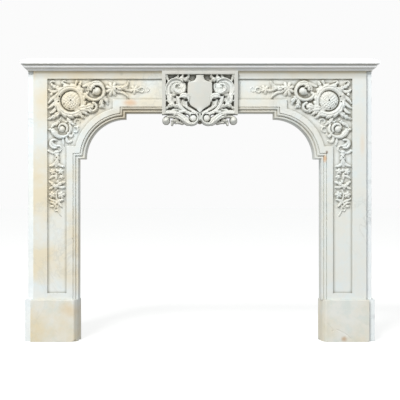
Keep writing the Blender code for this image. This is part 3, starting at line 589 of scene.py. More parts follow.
def drawFan(canvas, name, centre, radii, lobes, height, turn):
    place, u, v = windowOf(canvas, centre[0] - radii[1] - 1, centre[0] + radii[1] + 1,
                           centre[1] - radii[1] - 1, centre[1] + radii[1] + 1)
    r = np.hypot(u - centre[0], v - centre[1])
    angle = np.arctan2(v - centre[1], u - centre[0]) - math.radians(turn)
    swing = np.abs(np.cos(0.5 * lobes * angle))
    edge = radii[0] + (radii[1] - radii[0]) * swing ** 0.7
    s = r / edge
    crown = np.sqrt(np.clip(1 - s ** 2, 0, 1)) ** 0.8
    veins = 1 - 0.35 * (1 - swing) ** 2 * smooth(s, 0.1, 0.5)
    dimple = 1 - 0.25 * np.exp(-(r / (0.22 * radii[0] + 1)) ** 2)
    raiseTo(canvas, place, crown * veins * dimple * height)


def drill(canvas, u0, v0, sizes, floor):
    # a hole cut down to a floor, which is measured from the ground of the carving
    place, u, v = windowOf(canvas, u0 - sizes[0] - 3, u0 + sizes[0] + 3, v0 - sizes[1] - 3, v0 + sizes[1] + 3)
    inside = 1 - smooth(np.hypot((u - u0) / sizes[0], (v - v0) / sizes[1]), 0.55, 1.25)
    height = canvas["height"][place]
    canvas["height"][place] = height + inside * np.minimum(floor - height, 0)


drawers = {"scroll": drawScroll, "frond": drawFrond, "leaf": drawLeaf, "stem": drawStem, "ball": drawBall,
           "disc": drawDisc, "fan": drawFan, "rose": drawRose}


def draw(canvas, rows, holes, relief=1.0):
    for kind, *sizes in rows:
        drawers[kind](canvas, *sizes)
    for hole in holes:
        drill(canvas, *hole)
    u, v = np.meshgrid(canvas["u"], canvas["v"])
    marks = carvingStyle["chisel"] * cloudy(u, v, 7, 9) * smooth(canvas["height"], 1, 4)
    canvas["height"] = canvas["height"] * relief + marks
    return canvas


# Damage, as (x, y, z, size, seed) of each knocked-off flake, all in metres

jambChips = {
    "left": ((-0.5200, faceY, 0.420, 0.004, 71),),
    "right": ((0.3130, faceY, 0.9330, 0.006, 72), (0.5195, faceY, 0.497, 0.004, 73)),
}
friezeChips = ()
shelfChips = ((-0.067, faceY - 0.030, 1.1160, 0.007, 74),)
plinthChips = {
    "left": ((-0.489, faceY + 0.045, -0.002, 0.017, 75), (-0.513, faceY - 0.004, 0.001, 0.009, 76)),
    "right": ((0.489, faceY + 0.045, -0.004, 0.013, 77), (0.543, faceY - 0.012, 0.045, 0.004, 78)),
}
plinthGrooves = {
    "left": (((-0.592, 0.046), (-0.586, 0.040), (-0.580, 0.034), 0.0012, 0.0010),),
    "right": (
        ((0.558, 0.050), (0.590, 0.034), (0.616, 0.013), 0.0011, 0.0022),
        ((0.492, 0.103), (0.520, 0.075), (0.545, 0.046), 0.0013, 0.0018),
    ),
}



# Outlines of the opening and of the sunk panel, the same as in the solids

opening = {
    "jambX": 0.520,
    "shoulderZ": 0.771,
    "arcX": 0.3055,
    "arcZ": 0.7487,
    "arcRadius": 0.187,
    "stepX": 0.3276,
    "headZ": 0.960,
    "arcSteps": 40,
    # the moulding's profile from the face inwards: (inward from the quirk, behind the face)
    "moulding": (
        [(-0.0007, 0.0000), (0.0000, 0.0008), (0.0003, 0.0060), (0.0010, 0.0066)]
        + arcPoints((0.0058, 0.0056), (-0.0045, -0.0048), 80, 0, 6)
        + arcPoints((0.0058, 0.0062), (0.0050, -0.0054), 12, 90, 6)
        + [(0.0112, 0.0090), (0.0124, 0.0092)]
        + arcPoints((0.0180, 0.0102), (-0.0052, -0.0046), 75, 0, 5)
        + arcPoints((0.0180, 0.0126), (0.0055, -0.0070), 12, 90, 6) + [(0.0240, 0.0262)]
    ),
    "jitter": 0.00022,     # how far the hand-worked moulding strays
}

panel = {
    "depth": 0.007,
    "outX": 0.625,
    "inX": 0.545,
    "top": 1.0758,
    "bottom": 0.196,
    "headZ": 0.989,
    "arcRadius": 0.209,
    "shoulderZ": 0.798,
    "stepX": 0.356,
    "wall": 0.0020,        # thickness that the sunk edge takes, because it is cut a little out of square
}


def cornerArc(radius, shoulderZ, stepX):
    start = math.asin((shoulderZ - opening["arcZ"]) / radius)
    end = math.acos((stepX - opening["arcX"]) / radius)
    angles = np.linspace(start, end, opening["arcSteps"] + 1)
    return [(opening["arcX"] + radius * math.cos(a), opening["arcZ"] + radius * math.sin(a)) for a in angles]


def withMirror(half):
    return half + [(-x, z) for x, z in reversed(half)]


def openingOutline(inward, low):
    shoulder, step = opening["shoulderZ"] - inward, opening["stepX"] - inward
    jamb = opening["jambX"] - inward
    half = [(jamb, z) for z in np.linspace(low, shoulder, 40)]
    half += cornerArc(opening["arcRadius"] - inward, shoulder, step)
    half += [(x, opening["headZ"] - inward) for x in np.linspace(step, 0.01, 24)]
    return withMirror(half)


def openingCutter():
    profile = [(opening["moulding"][0][0], -0.05)] + opening["moulding"]
    profile.append((profile[-1][0], 0.12))
    rings = []
    for inward, behind in profile:
        outline = np.array(openingOutline(inward, 0.05))
        stray = opening["jitter"] * cloudy(*outline.T, 0.03, 11)
        rings.append([(x + d, faceY + behind + d, z + d) for (x, z), d in zip(outline, stray)])
    return loftRings("openingCutter", rings)


def insideBy(x, z, outline):
    # how far a point lies inside a closed outline, negative outside it
    points = np.array(outline)
    nearest = np.full(x.shape, 1e9)
    inside = np.zeros(x.shape, bool)
    for (ax, az), (bx, bz) in zip(points, np.roll(points, -1, axis=0)):
        dx, dz = bx - ax, bz - az
        t = np.clip(((x - ax) * dx + (z - az) * dz) / (dx * dx + dz * dz + 1e-18), 0, 1)
        nearest = np.minimum(nearest, np.hypot(x - ax - t * dx, z - az - t * dz))
        if abs(dz) > 1e-12:
            crosses = ((az > z) != (bz > z)) & (x < dx * (z - az) / dz + ax)
            inside ^= crosses
    return np.where(inside, nearest, -nearest)


def panelOutline():
    right = [(panel["outX"], panel["top"]), (panel["outX"], panel["bottom"])]
    right += [(panel["inX"], panel["bottom"]), (panel["inX"], panel["shoulderZ"])]
    right += cornerArc(panel["arcRadius"], panel["shoulderZ"], panel["stepX"])
    right.append((panel["stepX"], panel["headZ"]))
    return withMirror(right)


# The fronts of the slabs

carvingRows = sprayRows + cornerRows + lowerRows + dropRows
carving = draw(newCanvas(200, 632, 500, 1078), carvingRows, drilledHoles, 1.2)
print("carving drawn")


def carvedHeight(x, z):
    # height of the carving above the panel's ground, in metres
    u, v = np.abs(x) / mm, z / mm
    inReach = (u > carving["u"][0]) & (u < carving["u"][-1]) & (v > carving["v"][0]) & (v < carving["v"][-1])
    return np.where(inReach, sampleGrid(carving["height"], carving["u"], carving["v"], u, v), 0) * mm


wear = {
    "waviness": 0.00018,   # hand-dressed faces are never quite flat
    "arris": 0.0009,       # rounding of a worn edge
    "nick": 0.0022,        # depth of the larger nicks along it
}


def wornEdge(distance, alongEdge, seed, scale=1.0):
    # depth lost at a worn edge, by the distance from it and the place along it
    nicks = np.clip(cloudy(alongEdge, 0 * alongEdge, 0.02, seed) - 0.35, 0, 1) * 1.6
    radius = scale * (wear["arris"] + wear["nick"] * nicks)
    return np.clip(radius - distance, 0, None) ** 2 / (2 * radius)


def frontDepth(x, z):
    # how far the finished surface lies behind the face, negative where it stands proud
    ground = panel["depth"] * smooth(insideBy(x, z, panelOutline()), 0, panel["wall"])
    undulation = wear["waviness"] * cloudy(x, z, 0.06, 3)
    return ground - np.maximum(carvedHeight(x, z) - (panel["depth"] - ground), 0) + undulation


def recessOf(depth, across, up):
    # how much a point is sunk among its neighbours, on an even grid; the material darkens these points with dirt and
    # painted shade
    evenX = np.arange(across[0], across[-1], 0.0015)
    evenZ = np.arange(up[0], up[-1], 0.0015)
    x, z = np.meshgrid(evenX, evenZ)
    even = sampleGrid(depth, across, up, x, z)
    return (even - blurred(even, 4)) / 0.0055, evenX, evenZ


def makeSlab(name, node, across, up, edges, material, chips=(), pocket=None):
    x, z = np.meshgrid(across, up)
    depth = frontDepth(x, z)
    for distance, place, seed in edges(x, z):
        depth = depth + wornEdge(distance, place, seed)
    obj = carvedBlock(name, across, up, depth, slabBackY - faceY, facingRoom)
    cutOrJoin(obj, openingCutter(), "DIFFERENCE")
    if pocket:
        cutOrJoin(obj, boxBetween(*pocket), "DIFFERENCE")
    for chip in chips:
        cutOrJoin(obj, chipCutter(*chip), "DIFFERENCE")
    points = pointsOf(obj)
    values, evenX, evenZ = recessOf(depth, across, up)
    recess = sampleGrid(values, evenX, evenZ, points[:, 0], points[:, 2])
    behind = points[:, 1] - faceY
    front = insideBy(points[:, 0], points[:, 2], openingOutline(-0.001, 0.05)) < 0
    storeOnPoints(obj, "recess", np.where(front & (behind < 0.012), recess, 0))
    # painted shadow of the shelf on the top of the frame, with soot that gathers under it
    underShelf = (0.40 * smooth(points[:, 2], 1.068, 1.092) + 0.60 * smooth(points[:, 2], 1.091, 1.103)) * front
    soot = smooth(points[:, 2], 0.70, 0.90) * (0.75 - 0.25 * np.sign(points[:, 0]))
    valley = np.exp(-((behind - 0.0092) / 0.0022) ** 2)
    inside = soot * (0.35 + 0.65 * valley) + 0.25 * valley
    storeOnPoints(obj, "hollow", np.where(front, underShelf, inside))
    print(name, len(obj.data.polygons), "faces")
    return finishPiece(obj, [node], material)


def chipCutter(x, y, z, size, seed):
    # a rough lump that knocks a flake off an edge
    bpy.ops.mesh.primitive_ico_sphere_add(subdivisions=3, radius=1, location=(0, 0, 0))
    obj = bpy.context.active_object
    rng = np.random.default_rng(seed)
    shifts = rng.uniform(-1, 1, (8, 3))
    for vertex in obj.data.vertices:
        direction = vertex.co.normalized()
        lump = sum(abs(direction.dot(Vector(shift))) for shift in shifts) / 8
        vertex.co = Vector((x, y, z)) + direction * size * (0.7 + 0.6 * lump)
    return obj


def makeJamb(side, material):
    name = "right" if side > 0 else "left"
    node = "jamb_" + name
    low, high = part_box(node)
    inner, outer = sorted((abs(low.x), abs(high.x)))
    spread = np.concatenate([np.arange(inner, outer - 0.004, 0.00155), [outer - 0.004, outer - 0.0025]])
    spread = np.concatenate([spread, outer - np.array([0.0015, 0.0008, 0.0003, 0])])
    across = np.sort(side * spread)
    up = np.concatenate([
        np.arange(low.z, panel["bottom"] - 0.004, 0.004),
        np.arange(panel["bottom"] - 0.003, panel["bottom"] + 0.004, 0.001),
        np.arange(panel["bottom"] + 0.006, 0.500, 0.005),
        np.arange(0.502, high.z - 0.028, 0.00155),
        np.arange(high.z - 0.0265, high.z - 0.001, 0.003),
        [high.z],
    ])

    def edges(x, z):
        return [(outer - np.abs(x), z, 21 + side)]

    return makeSlab("jamb" + name.title(), node, across, up, edges, material, jambChips[name])


def makeFrieze(material):
    low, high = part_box("frieze")
    half = high.x
    plain = np.linspace(-0.2, 0.2, 81)
    spread = np.arange(0.2016, half, 0.0016)
    across = np.concatenate([-spread[::-1], plain, spread, [half]])
    across[0] = -half
    up = np.concatenate([np.arange(low.z - 0.006, high.z - 0.001, 0.0016), [high.z]])
    blockLow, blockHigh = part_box("middle_block")
    gap = 0.0003
    pocket = ((blockLow.x - gap, faceY - 0.05, 0.7), (blockHigh.x + gap, blockHigh.y + gap, 1.3))

    def edges(x, z):
        return []

    return makeSlab("friezeSlab", "frieze", across, up, edges, material, friezeChips, pocket)


# The middle block: a frame, a sunk field with a plain shield, leaves, and scrolls that hang below

block = {
    "bottom": 0.930,
    "frontY": faceY - 0.018,
    "backY": faceY + 0.0297,
    "rail": 0.015,
    "topRail": 0.013,
    "fieldY": faceY + 0.008,
    "scrollBehind": 0.004,     # the hanging scrolls stand this far in front of the block's back
    "step": 0.00105,
    "shieldEdge": 0.019,
    "shieldKeel": 0.0225,
    # the shield from its neck to its point: (height, half width)
    "shield": (
        (1.0905, 0.0175), (1.0840, 0.0165), (1.0780, 0.0170), (1.0720, 0.0200), (1.0675, 0.0250),
        (1.0640, 0.0330), (1.0625, 0.0420), (1.0610, 0.0480), (1.0570, 0.0505), (1.0300, 0.0515),
        (1.0100, 0.0512), (0.9950, 0.0490), (0.9850, 0.0465), (0.9750, 0.0440), (0.9680, 0.0410),
        (0.9620, 0.0340), (0.9560, 0.0240), (0.9500, 0.0150), (0.9440, 0.0100), (0.9380, 0.0050),
    ),
}


def blockDepth(x, z):
    # measured behind the face, like the slabs
    heights, halves = np.array(block["shield"][::-1]).T
    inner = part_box("middle_block")[1].x - block["rail"]
    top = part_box("middle_block")[1].z - block["topRail"]
    fieldEdge = np.minimum(inner - np.abs(x), top - z)
    frontBehind, fieldBehind = block["frontY"] - faceY, block["fieldY"] - faceY
    depth = frontBehind + (fieldBehind - frontBehind) * smooth(fieldEdge, 0, 0.0016)
    half = np.interp(z, heights, halves)
    inShield = (half - np.abs(x)) * (z > heights[0]) * (z < heights[-1])
    dome = np.clip(1 - (x / half) ** 2, 0, 1)
    rise = block["shieldEdge"] + (block["shieldKeel"] - block["shieldEdge"]) * dome
    depth = np.minimum(depth, fieldBehind - rise * smooth(inShield, 0, 0.0016))
    u, v = np.abs(x) / mm, z / mm
    leaves = sampleGrid(blockCarving["height"], blockCarving["u"], blockCarving["v"], u, v) * mm
    depth = np.where(z > block["bottom"], np.minimum(depth, fieldBehind - leaves), 1)
    scrolls = sampleGrid(scrollCarving["height"], scrollCarving["u"], scrollCarving["v"], u, v) * mm
    scrollGround = block["backY"] - faceY - block["scrollBehind"]
    away = block["backY"] - faceY + 0.006
    hanging = np.where(scrolls > 0.0002, scrollGround - scrolls, away)
    return np.minimum(np.minimum(depth, hanging), away) + wear["waviness"] * cloudy(x, z, 0.05, 5)


blockCarving = draw(newCanvas(-4, 165, 915, 1100), blockRows, blockHoles)
scrollCarving = draw(newCanvas(-12, 165, 872, 965), hangingRows, hangingHoles)


def blockShadeAndDirt(points):
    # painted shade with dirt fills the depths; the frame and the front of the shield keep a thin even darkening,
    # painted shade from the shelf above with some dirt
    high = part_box("middle_block")[1]
    behind = points[:, 1] - faceY
    edge = np.minimum(high.x - np.abs(points[:, 0]), high.z - points[:, 2])
    shadeAndDirtFilm = 0.30 * (edge < block["rail"] - 0.001) * (points[:, 2] > block["bottom"])
    shieldFront = (np.abs(points[:, 0]) < 0.053) * smooth(points[:, 2], 0.94, 0.97)
    shadeAndDirtFilm = np.maximum(shadeAndDirtFilm, 0.22 * shieldFront * smooth(behind, -0.0155, -0.0145))
    return np.maximum(0.95 * smooth(behind, 0.006, 0.018), shadeAndDirtFilm)


def makeMiddleBlock(material):
    low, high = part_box("middle_block")
    across = np.linspace(low.x, high.x, round((high.x - low.x) / block["step"]) + 1)
    up = np.linspace(low.z - 0.003, high.z, round((high.z - low.z) / block["step"]) + 4)
    x, z = np.meshgrid(across, up)
    depth = blockDepth(x, z)
    for distance, place, seed in ((high.x - np.abs(x), z, 31), (high.z - z, x, 33)):
        depth = depth + np.where(depth < -0.01, wornEdge(distance, place, seed), 0)
    beyond = block["backY"] - faceY + 0.02
    obj = carvedBlock("middleBlock", across, up, depth, beyond, facingRoom)
    cutOrJoin(obj, boxBetween((-0.5, block["backY"] - 0.2, 0.5), (0.5, block["backY"], 1.5)), "INTERSECT")
    points = pointsOf(obj)
    values, evenX, evenZ = recessOf(np.minimum(depth, beyond), across, up)
    recess = sampleGrid(values, evenX, evenZ, points[:, 0], points[:, 2])
    storeOnPoints(obj, "recess", 0.45 * recess)
    storeOnPoints(obj, "hollow", blockShadeAndDirt(points))
    print("middleBlock", len(obj.data.polygons), "faces")
    return finishPiece(obj, ["middle_block"], material)


# The shelf: one profile carried round the front and both ends

shelf = {
    "overhang": 0.027,
    "half": cadHigh[0],
    "top": cadHigh[2],
    "step": 0.012,
    # from the top face down to the underside: (inset from the nose, below the top)
    "profile": (
        [(0.0235, 0.0), (0.0225, 0.0004)] + arcPoints((0.0225, 0.0088), (-0.0085, -0.0080), 0, 82, 6)
        + [(0.0110, 0.0089)] + arcPoints((0.0050, 0.0140), (-0.0050, -0.0050), 0, 90, 6)
        + arcPoints((0.0020, 0.0218), (-0.0020, 0.0020), 90, 0, 5) + [(0.0112, 0.0241)]
        + [(0.0120, 0.0248), (0.0120, 0.0276)] + arcPoints((0.0160, 0.0322), (-0.0048, -0.0050), 30, 90, 4)
        + arcPoints((0.0160, 0.0330), (-0.0048, 0.0052), 90, 20, 5) + [(0.0150, 0.0388)]
        + arcPoints((0.0158, 0.0478), (0.0105, -0.0088), 0, 90, 8) + [(0.0266, 0.0487), (0.0268, 0.0510)]
    ),
    "waviness": 0.0003,
    "nick": 0.0028,
}


def makeShelf(material):
    wide, deep = 2 * shelf["half"], wallY - (faceY - shelf["overhang"])
    rings = []
    for inset, below in shelf["profile"]:
        half, front = shelf["half"] - inset, faceY - shelf["overhang"] + inset
        ends = [(-half, wallY), (-half, front), (half, front), (half, wallY)]
        ring = []
        for (ax, ay), (bx, by), length in zip(ends, ends[1:], (deep, wide, deep)):
            for s in np.linspace(0, 1, round(length / shelf["step"]), endpoint=False):
                ring.append((ax + s * (bx - ax), ay + s * (by - ay)))
        ring.append(ends[-1])
        x, y = np.array(ring).T
        place = np.where(y > front + 1e-6, np.sign(x) * (2 + y), x)
        lost = shelf["waviness"] * (1 + cloudy(place, place * 0 + below * 3, 0.05, 41)) / 2
        isNose = math.exp(-((below - 0.0170) / 0.006) ** 2)
        lost = lost + isNose * shelf["nick"] * np.clip(cloudy(place, place * 0, 0.018, 43) - 0.42, 0, 1)
        inFront = y <= front + 1e-6
        moved = np.stack([np.where(np.abs(x) > half - 1e-6, x - np.sign(x) * lost, x),
                          np.where(inFront, y + lost, y), 0 * x + shelf["top"] - below], axis=1)
        rings.append([tuple(p) for p in moved])
    obj = loftRings("shelfSlab", rings)
    for chip in shelfChips:
        cutOrJoin(obj, chipCutter(*chip), "DIFFERENCE")
    storeOnPoints(obj, "recess", np.zeros(len(obj.data.vertices)))
    below = shelf["top"] - pointsOf(obj)[:, 2]
    # painted shade under the nose, under the bead and in the cove, and painted shadow with a dark joint where the
    # shelf sits on the frame
    underNose = 0.6 * (smooth(below, 0.0225, 0.0240) - smooth(below, 0.0276, 0.0290))
    underBead = 0.5 * (smooth(below, 0.0368, 0.0384) - smooth(below, 0.0405, 0.0420))
    underShelf = 0.15 * smooth(below, 0.036, 0.044) + 0.85 * smooth(below, 0.0478, 0.0492)
    storeOnPoints(obj, "hollow", underNose + underBead + underShelf)
    print("shelfSlab", len(obj.data.polygons), "faces")
    return finishPiece(obj, ["shelf"], material, 35)


# The plinths and the thin returns at the sides

plinth = {
    "proud": 0.010,
    "step": 0.0022,
    "thick": 0.080,
    # plan of the inner side, which is canted back: (distance from the middle, behind the front)
    "cant": ((0.692, 0.0), (0.5160, 0.0), (0.5120, 0.0035), (0.5025, 0.0200), (0.493, 0.0620)),
    "waviness": 0.0004,
}


def makePlinth(side, material):
    name = "right" if side > 0 else "left"
    node = "plinth_" + name
    low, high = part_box(node)
    inner, outer = sorted((abs(low.x), abs(high.x)))
    spread = np.concatenate([
        np.arange(inner, 0.5150, 0.0006),
        np.arange(0.5160, outer - 0.004, plinth["step"]),
        outer - np.array([0.0035, 0.0022, 0.0012, 0.0005, 0]),
    ])
    across = np.sort(side * spread)
    up = np.concatenate([
        [0, 0.0005, 0.0012, 0.0022, 0.0035],
        np.arange(0.005, high.z - 0.004, plinth["step"]),
        high.z - np.array([0.0035, 0.0022, 0.0012, 0.0005, 0]),
    ])
    x, z = np.meshgrid(across, up)
    places, behind = np.array(plinth["cant"][::-1]).T
    depth = -plinth["proud"] + np.interp(np.abs(x), places, behind)
    depth = depth + plinth["waviness"] * cloudy(x, z, 0.05, 51 + side)
    for distance, place, seed in ((outer - np.abs(x), z, 53), (high.z - z, x, 55), (z, x, 57)):
        depth = depth + wornEdge(distance, place, seed + side, 1.6)
    for groove in plinthGrooves[name]:
        depth = depth + grooveDepth(x, z, *groove)
    obj = carvedBlock("plinth" + name.title(), across, up, depth, plinth["thick"] - plinth["proud"], facingRoom)
    for chip in plinthChips[name]:
        cutOrJoin(obj, chipCutter(*chip), "DIFFERENCE")
    count = len(obj.data.vertices)
    storeOnPoints(obj, "recess", np.zeros(count))
    storeOnPoints(obj, "hollow", np.zeros(count))
    return finishPiece(obj, [node], material)


def grooveDepth(x, z, start, middle, end, width, depth):
    # a crack or scratch along a curve through three points, in metres
    path = leafPath(start, middle, end, 0.004)
    share, side, away = nearestOn(path, x, z)
    return depth * np.exp(-(away / width) ** 2)


def makeReturn(node, material):
    # a thin slab on edge, with its outer side finished
    low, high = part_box(node)
    side = 1 if high.x > 0 else -1
    name = "".join([node.split("_")[0]] + [word.title() for word in node.split("_")[1:]]) + "Slab"
    across = np.concatenate([low.y + np.array([0, 0.0005, 0.0012, 0.0025]),
                             np.linspace(low.y + 0.004, high.y, 36)])
    up = np.concatenate([low.z + np.array([0, 0.0005, 0.0012, 0.0025]),
                         np.linspace(low.z + 0.004, high.z - 0.004, max(30, round((high.z - low.z) / 0.006))),
                         high.z - np.array([0.0025, 0.0012, 0.0005, 0])])
    y, z = np.meshgrid(across, up)
    outer = high.x if side > 0 else -low.x
    inner = low.x if side > 0 else -high.x
    depth = 0.0003 * (1 + cloudy(y, z, 0.08, 61)) / 2
    for distance, place, seed in ((y - low.y, z, 63), (z - low.z, y, 65), (high.z - z, y, 67)):
        depth = depth + wornEdge(distance, place, seed + side)

    def facingSide(a, b, d):
        return np.stack(np.broadcast_arrays(side * (outer - d), a, b), axis=-1)

    obj = carvedBlock(name, across, up, depth, outer - inner, facingSide)
    count = len(obj.data.vertices)
    storeOnPoints(obj, "recess", np.zeros(count))
    storeOnPoints(obj, "hollow", np.zeros(count))
    return finishPiece(obj, [node], material)


# Marble: calcite, which is white to pearly, with soft grey veins and warm stains where damp and soot
# have worked in. It was sawn, rubbed smooth and left with a low sheen.

# in each look, dirt darkens the sunk points of the carving, as dirt and painted shade; hollow carries soot, dirt and
# painted shade
marbleLooks = {
    "CarvedMarble": {
        "pale": "#dfe1dc", "warm": "#dfd2b3", "cool": "#dbe2e1", "grey": "#b4b6b1",
        "dirt": "#6f6a59", "hollow": "#a79e8c", "veinStrength": 0.35, "roughness": 0.42,
        "grain": 0.00025, "warmth": (0.85, 0.10),
    },
    "BlockMarble": {
        "pale": "#e0e1dc", "warm": "#dfd9c8", "cool": "#dbe1df", "grey": "#b9bbb5",
        "dirt": "#5f5a4b", "hollow": "#8f8775", "veinStrength": 0.3, "roughness": 0.42,
        "grain": 0.00025, "warmth": (0.4, 0.3),
    },
    # the shelf's marble is a lighter copy of the same stone: painted light for the strong light on the shelf's top and
    # nose
    "ShelfMarbleLit": {
        "pale": "#f9f9f8", "warm": "#f5f3ee", "cool": "#f3f6f7", "grey": "#dcdedc",
        "dirt": "#8a8678", "hollow": "#a5a294", "veinStrength": 0.25, "roughness": 0.30,
        "grain": 0.00015, "warmth": (0.4, 0.1),
    },
    "PlinthMarble": {
        "pale": "#dfdfd8", "warm": "#dccdaa", "cool": "#d2d8d2", "grey": "#a4a59d",
        "dirt": "#6f6a59", "hollow": "#a79e8c", "veinStrength": 0.6, "roughness": 0.50,
        "grain": 0.00030, "warmth": (0.9, 0.45),
    },
    "ReturnMarble": {
        "pale": "#ebefef", "warm": "#e8eae4", "cool": "#e3eaec", "grey": "#b9c0c1",
        "dirt": "#7d7b70", "hollow": "#a79e8c", "veinStrength": 0.5, "roughness": 0.45,
        "grain": 0.00025, "warmth": (0.4, 0.1),
    },
}

# Stains, as (x, z) of the middle, (half width, half height), colour and strength, in metres
stains = (
    ((-0.288, 0.977), (0.040, 0.020), "#dca66c", 0.55),
    ((-0.300, 0.930), (0.090, 0.050), "#c9b48c", 0.35),
    ((0.519, 0.775), (0.008, 0.010), "#6b4a2a", 0.80),
    ((0.512, 0.750), (0.010, 0.022), "#e0a868", 0.70),
    ((0.665, 0.805), (0.016, 0.070), "#e8c9a0", 0.30),
    ((0.588, 0.013), (0.018, 0.018), "#b98d55", 0.65),
    ((-0.530, 0.130), (0.060, 0.050), "#d9bd8c", 0.50),
    ((-0.320, 1.095), (0.012, 0.012), "#9fa79a", 0.40),
    ((0.687, 0.425), (0.003, 0.004), "#ffffff", 0.80),
)


def mixColours(tree, factor, first, second, blend="MIX"):
    node = addNode(tree, "Mix", {"data_type": "RGBA", "blend_type": blend})
    for socket, value in ((node.inputs[0], factor), (node.inputs[6], first), (node.inputs[7], second)):
        if hasattr(value, "is_linked") or hasattr(value, "links"):
            tree.links.new(value, socket)
        else:
            socket.default_value = value
    return node.outputs[2]


def makeMarble(name, look):
    material = bpy.data.materials.new(name)
    material.use_nodes = True
    tree = material.node_tree
    shader = tree.nodes["Principled BSDF"]
    where = addNode(tree, "TexCoord").outputs["Object"]
    axes = addNode(tree, "SeparateXYZ", Vector=where)

    # clouds some 150 mm and 40 mm across
    broad = addNode(tree, "TexNoise", {"Scale": 6.5, "Detail": 4.0, "Roughness": 0.55}, Vector=where)
    small = addNode(tree, "TexNoise", {"Scale": 24.0, "Detail": 3.0, "Roughness": 0.6}, Vector=where)
    warmEnd, coolEnd = look["warmth"]
    warmth = addNode(tree, "MapRange", {"From Min": -0.7, "From Max": 0.7, "To Min": warmEnd, "To Max": coolEnd},
                     Value=axes.outputs["X"])
    lean = addNode(tree, "MapRange", {"From Min": 0.38, "From Max": 0.62}, Value=broad.outputs["Fac"])
    warmShare = addNode(tree, "Math", {"operation": "MULTIPLY"}, i0=warmth.outputs[0], i1=lean.outputs[0])
    coolShare = addNode(tree, "MapRange", {"From Min": 0.55, "From Max": 0.35, "To Max": 0.8},
                        Value=small.outputs["Fac"])
    colour = mixColours(tree, coolShare.outputs[0], hexToLinear(look["pale"]), hexToLinear(look["cool"]))
    colour = mixColours(tree, warmShare.outputs[0], colour, hexToLinear(look["warm"]))

    # veins a few millimetres wide: the thin middle band of a bent noise, in patches
    bent = addNode(tree, "TexNoise", {"Scale": 5.0, "Detail": 6.0, "Roughness": 0.62, "Distortion": 0.8},
                   Vector=where)
    middle = addNode(tree, "Math", {"operation": "SUBTRACT"}, i0=bent.outputs["Fac"])
    middle.inputs[1].default_value = 0.5
    size = addNode(tree, "Math", {"operation": "ABSOLUTE"}, i0=middle.outputs[0])
    band = addNode(tree, "MapRange", {"From Min": 0.0, "From Max": 0.022, "To Min": 1.0, "To Max": 0.0},
                   Value=size.outputs[0])
    patches = addNode(tree, "TexNoise", {"noise_dimensions": "4D", "Scale": 3.1, "Detail": 2.0, "W": 2.0},
                      Vector=where)
    patchShare = addNode(tree, "MapRange", {"From Min": 0.45, "From Max": 0.65, "To Max": look["veinStrength"]},
                         Value=patches.outputs["Fac"])
    veins = addNode(tree, "Math", {"operation": "MULTIPLY"}, i0=band.outputs[0], i1=patchShare.outputs[0])
    colour = mixColours(tree, veins.outputs[0], colour, hexToLinear(look["grey"]))

    # stains that have soaked in from one side, with ragged edges
    for (x, z), (wide, high), tint, strength in stains:
        shift = addNode(tree, "VectorMath", {"operation": "SUBTRACT"}, i0=where)
        shift.inputs[1].default_value = (x, 0.0, z)
        spread = addNode(tree, "VectorMath", {"operation": "MULTIPLY"}, i0=shift.outputs[0])
        spread.inputs[1].default_value = (1 / wide, 0.0, 1 / high)
        away = addNode(tree, "VectorMath", {"operation": "LENGTH"}, i0=spread.outputs[0])
        ragged = addNode(tree, "Math", {"operation": "ADD"}, i0=away.outputs["Value"], i1=small.outputs["Fac"])
        mask = addNode(tree, "MapRange", {"From Min": 0.6, "From Max": 1.5, "To Min": strength, "To Max": 0.0,
                                          "interpolation_type": "SMOOTHSTEP"}, Value=ragged.outputs[0])
        colour = mixColours(tree, mask.outputs[0], colour, hexToLinear(tint))

    # soot and damp in the mouldings, with painted shade under the shelf, under its nose and bead and in the middle
    # block's depths; then dirt and painted shade in the hollows of the carving
    hollow = addNode(tree, "Attribute", {"attribute_name": "hollow"})
    colour = mixColours(tree, hollow.outputs["Fac"], colour, hexToLinear(look["hollow"]), "MULTIPLY")
    recess = addNode(tree, "Attribute", {"attribute_name": "recess"})
    shadeAndDirtShare = addNode(tree, "MapRange", {"From Min": 0.05, "From Max": 0.8, "To Max": 0.85},
                        Value=recess.outputs["Fac"])
    colour = mixColours(tree, shadeAndDirtShare.outputs[0], colour, hexToLinear(look["dirt"]))
    tree.links.new(colour, shader.inputs["Base Color"])

    # calcite grains about 1 mm across catch the light, and hand rubbing leaves soft swells
    grain = addNode(tree, "TexNoise", {"Scale": 900.0, "Detail": 2.0}, Vector=where)
    sheen = addNode(tree, "MapRange", {"To Min": look["roughness"] - 0.07, "To Max": look["roughness"] + 0.10},
                    Value=small.outputs["Fac"])
    tree.links.new(sheen.outputs[0], shader.inputs["Roughness"])
    bump = addNode(tree, "Bump", {"Strength": 0.5, "Distance": look["grain"]}, Height=grain.outputs["Fac"])
    swell = addNode(tree, "Bump", {"Strength": 0.6, "Distance": 0.0012}, Height=small.outputs["Fac"],
                    Normal=bump.outputs[0])
    tree.links.new(swell.outputs[0], shader.inputs["Normal"])
    shader.inputs["IOR"].default_value = 1.55
    shader.inputs["Specular IOR Level"].default_value = 0.4
    return material


marbles = {name: makeMarble(name, look) for name, look in marbleLooks.items()}
print("marble ready")

makeFrieze(marbles["CarvedMarble"])
makeMiddleBlock(marbles["BlockMarble"])
makeShelf(marbles["ShelfMarbleLit"])
for side in (-1, 1):
    name = "right" if side > 0 else "left"
    makeJamb(side, marbles["CarvedMarble"])
    makePlinth(side, marbles["PlinthMarble"])
    makeReturn("return_" + name, marbles["ReturnMarble"])
    makeReturn("plinth_return_" + name, marbles["ReturnMarble"])
print("stone ready")


# Floor, light and camera

stageLook = {
    "floorSize": 60.0,
    "floorColour": "#b4b4b2",
    "floorGlow": 0.66,
    "seenColour": (0.965, 0.965, 0.965, 1),
    "skyStrength": 0.60,
    "groundStrength": 0.58,
    "keyPlace": (-2.1, -5.1, 5.8),
    "keyAim": (0, 0, 0.6),
    "keySize": 2.2,
    "keyPower": 480.0,
    "cameraPlace": (-0.070, -4.0865, 0.620),
    "lens": 88.0,
    "sensor": 36.0,
    "shift": (0.043, -0.025),
}

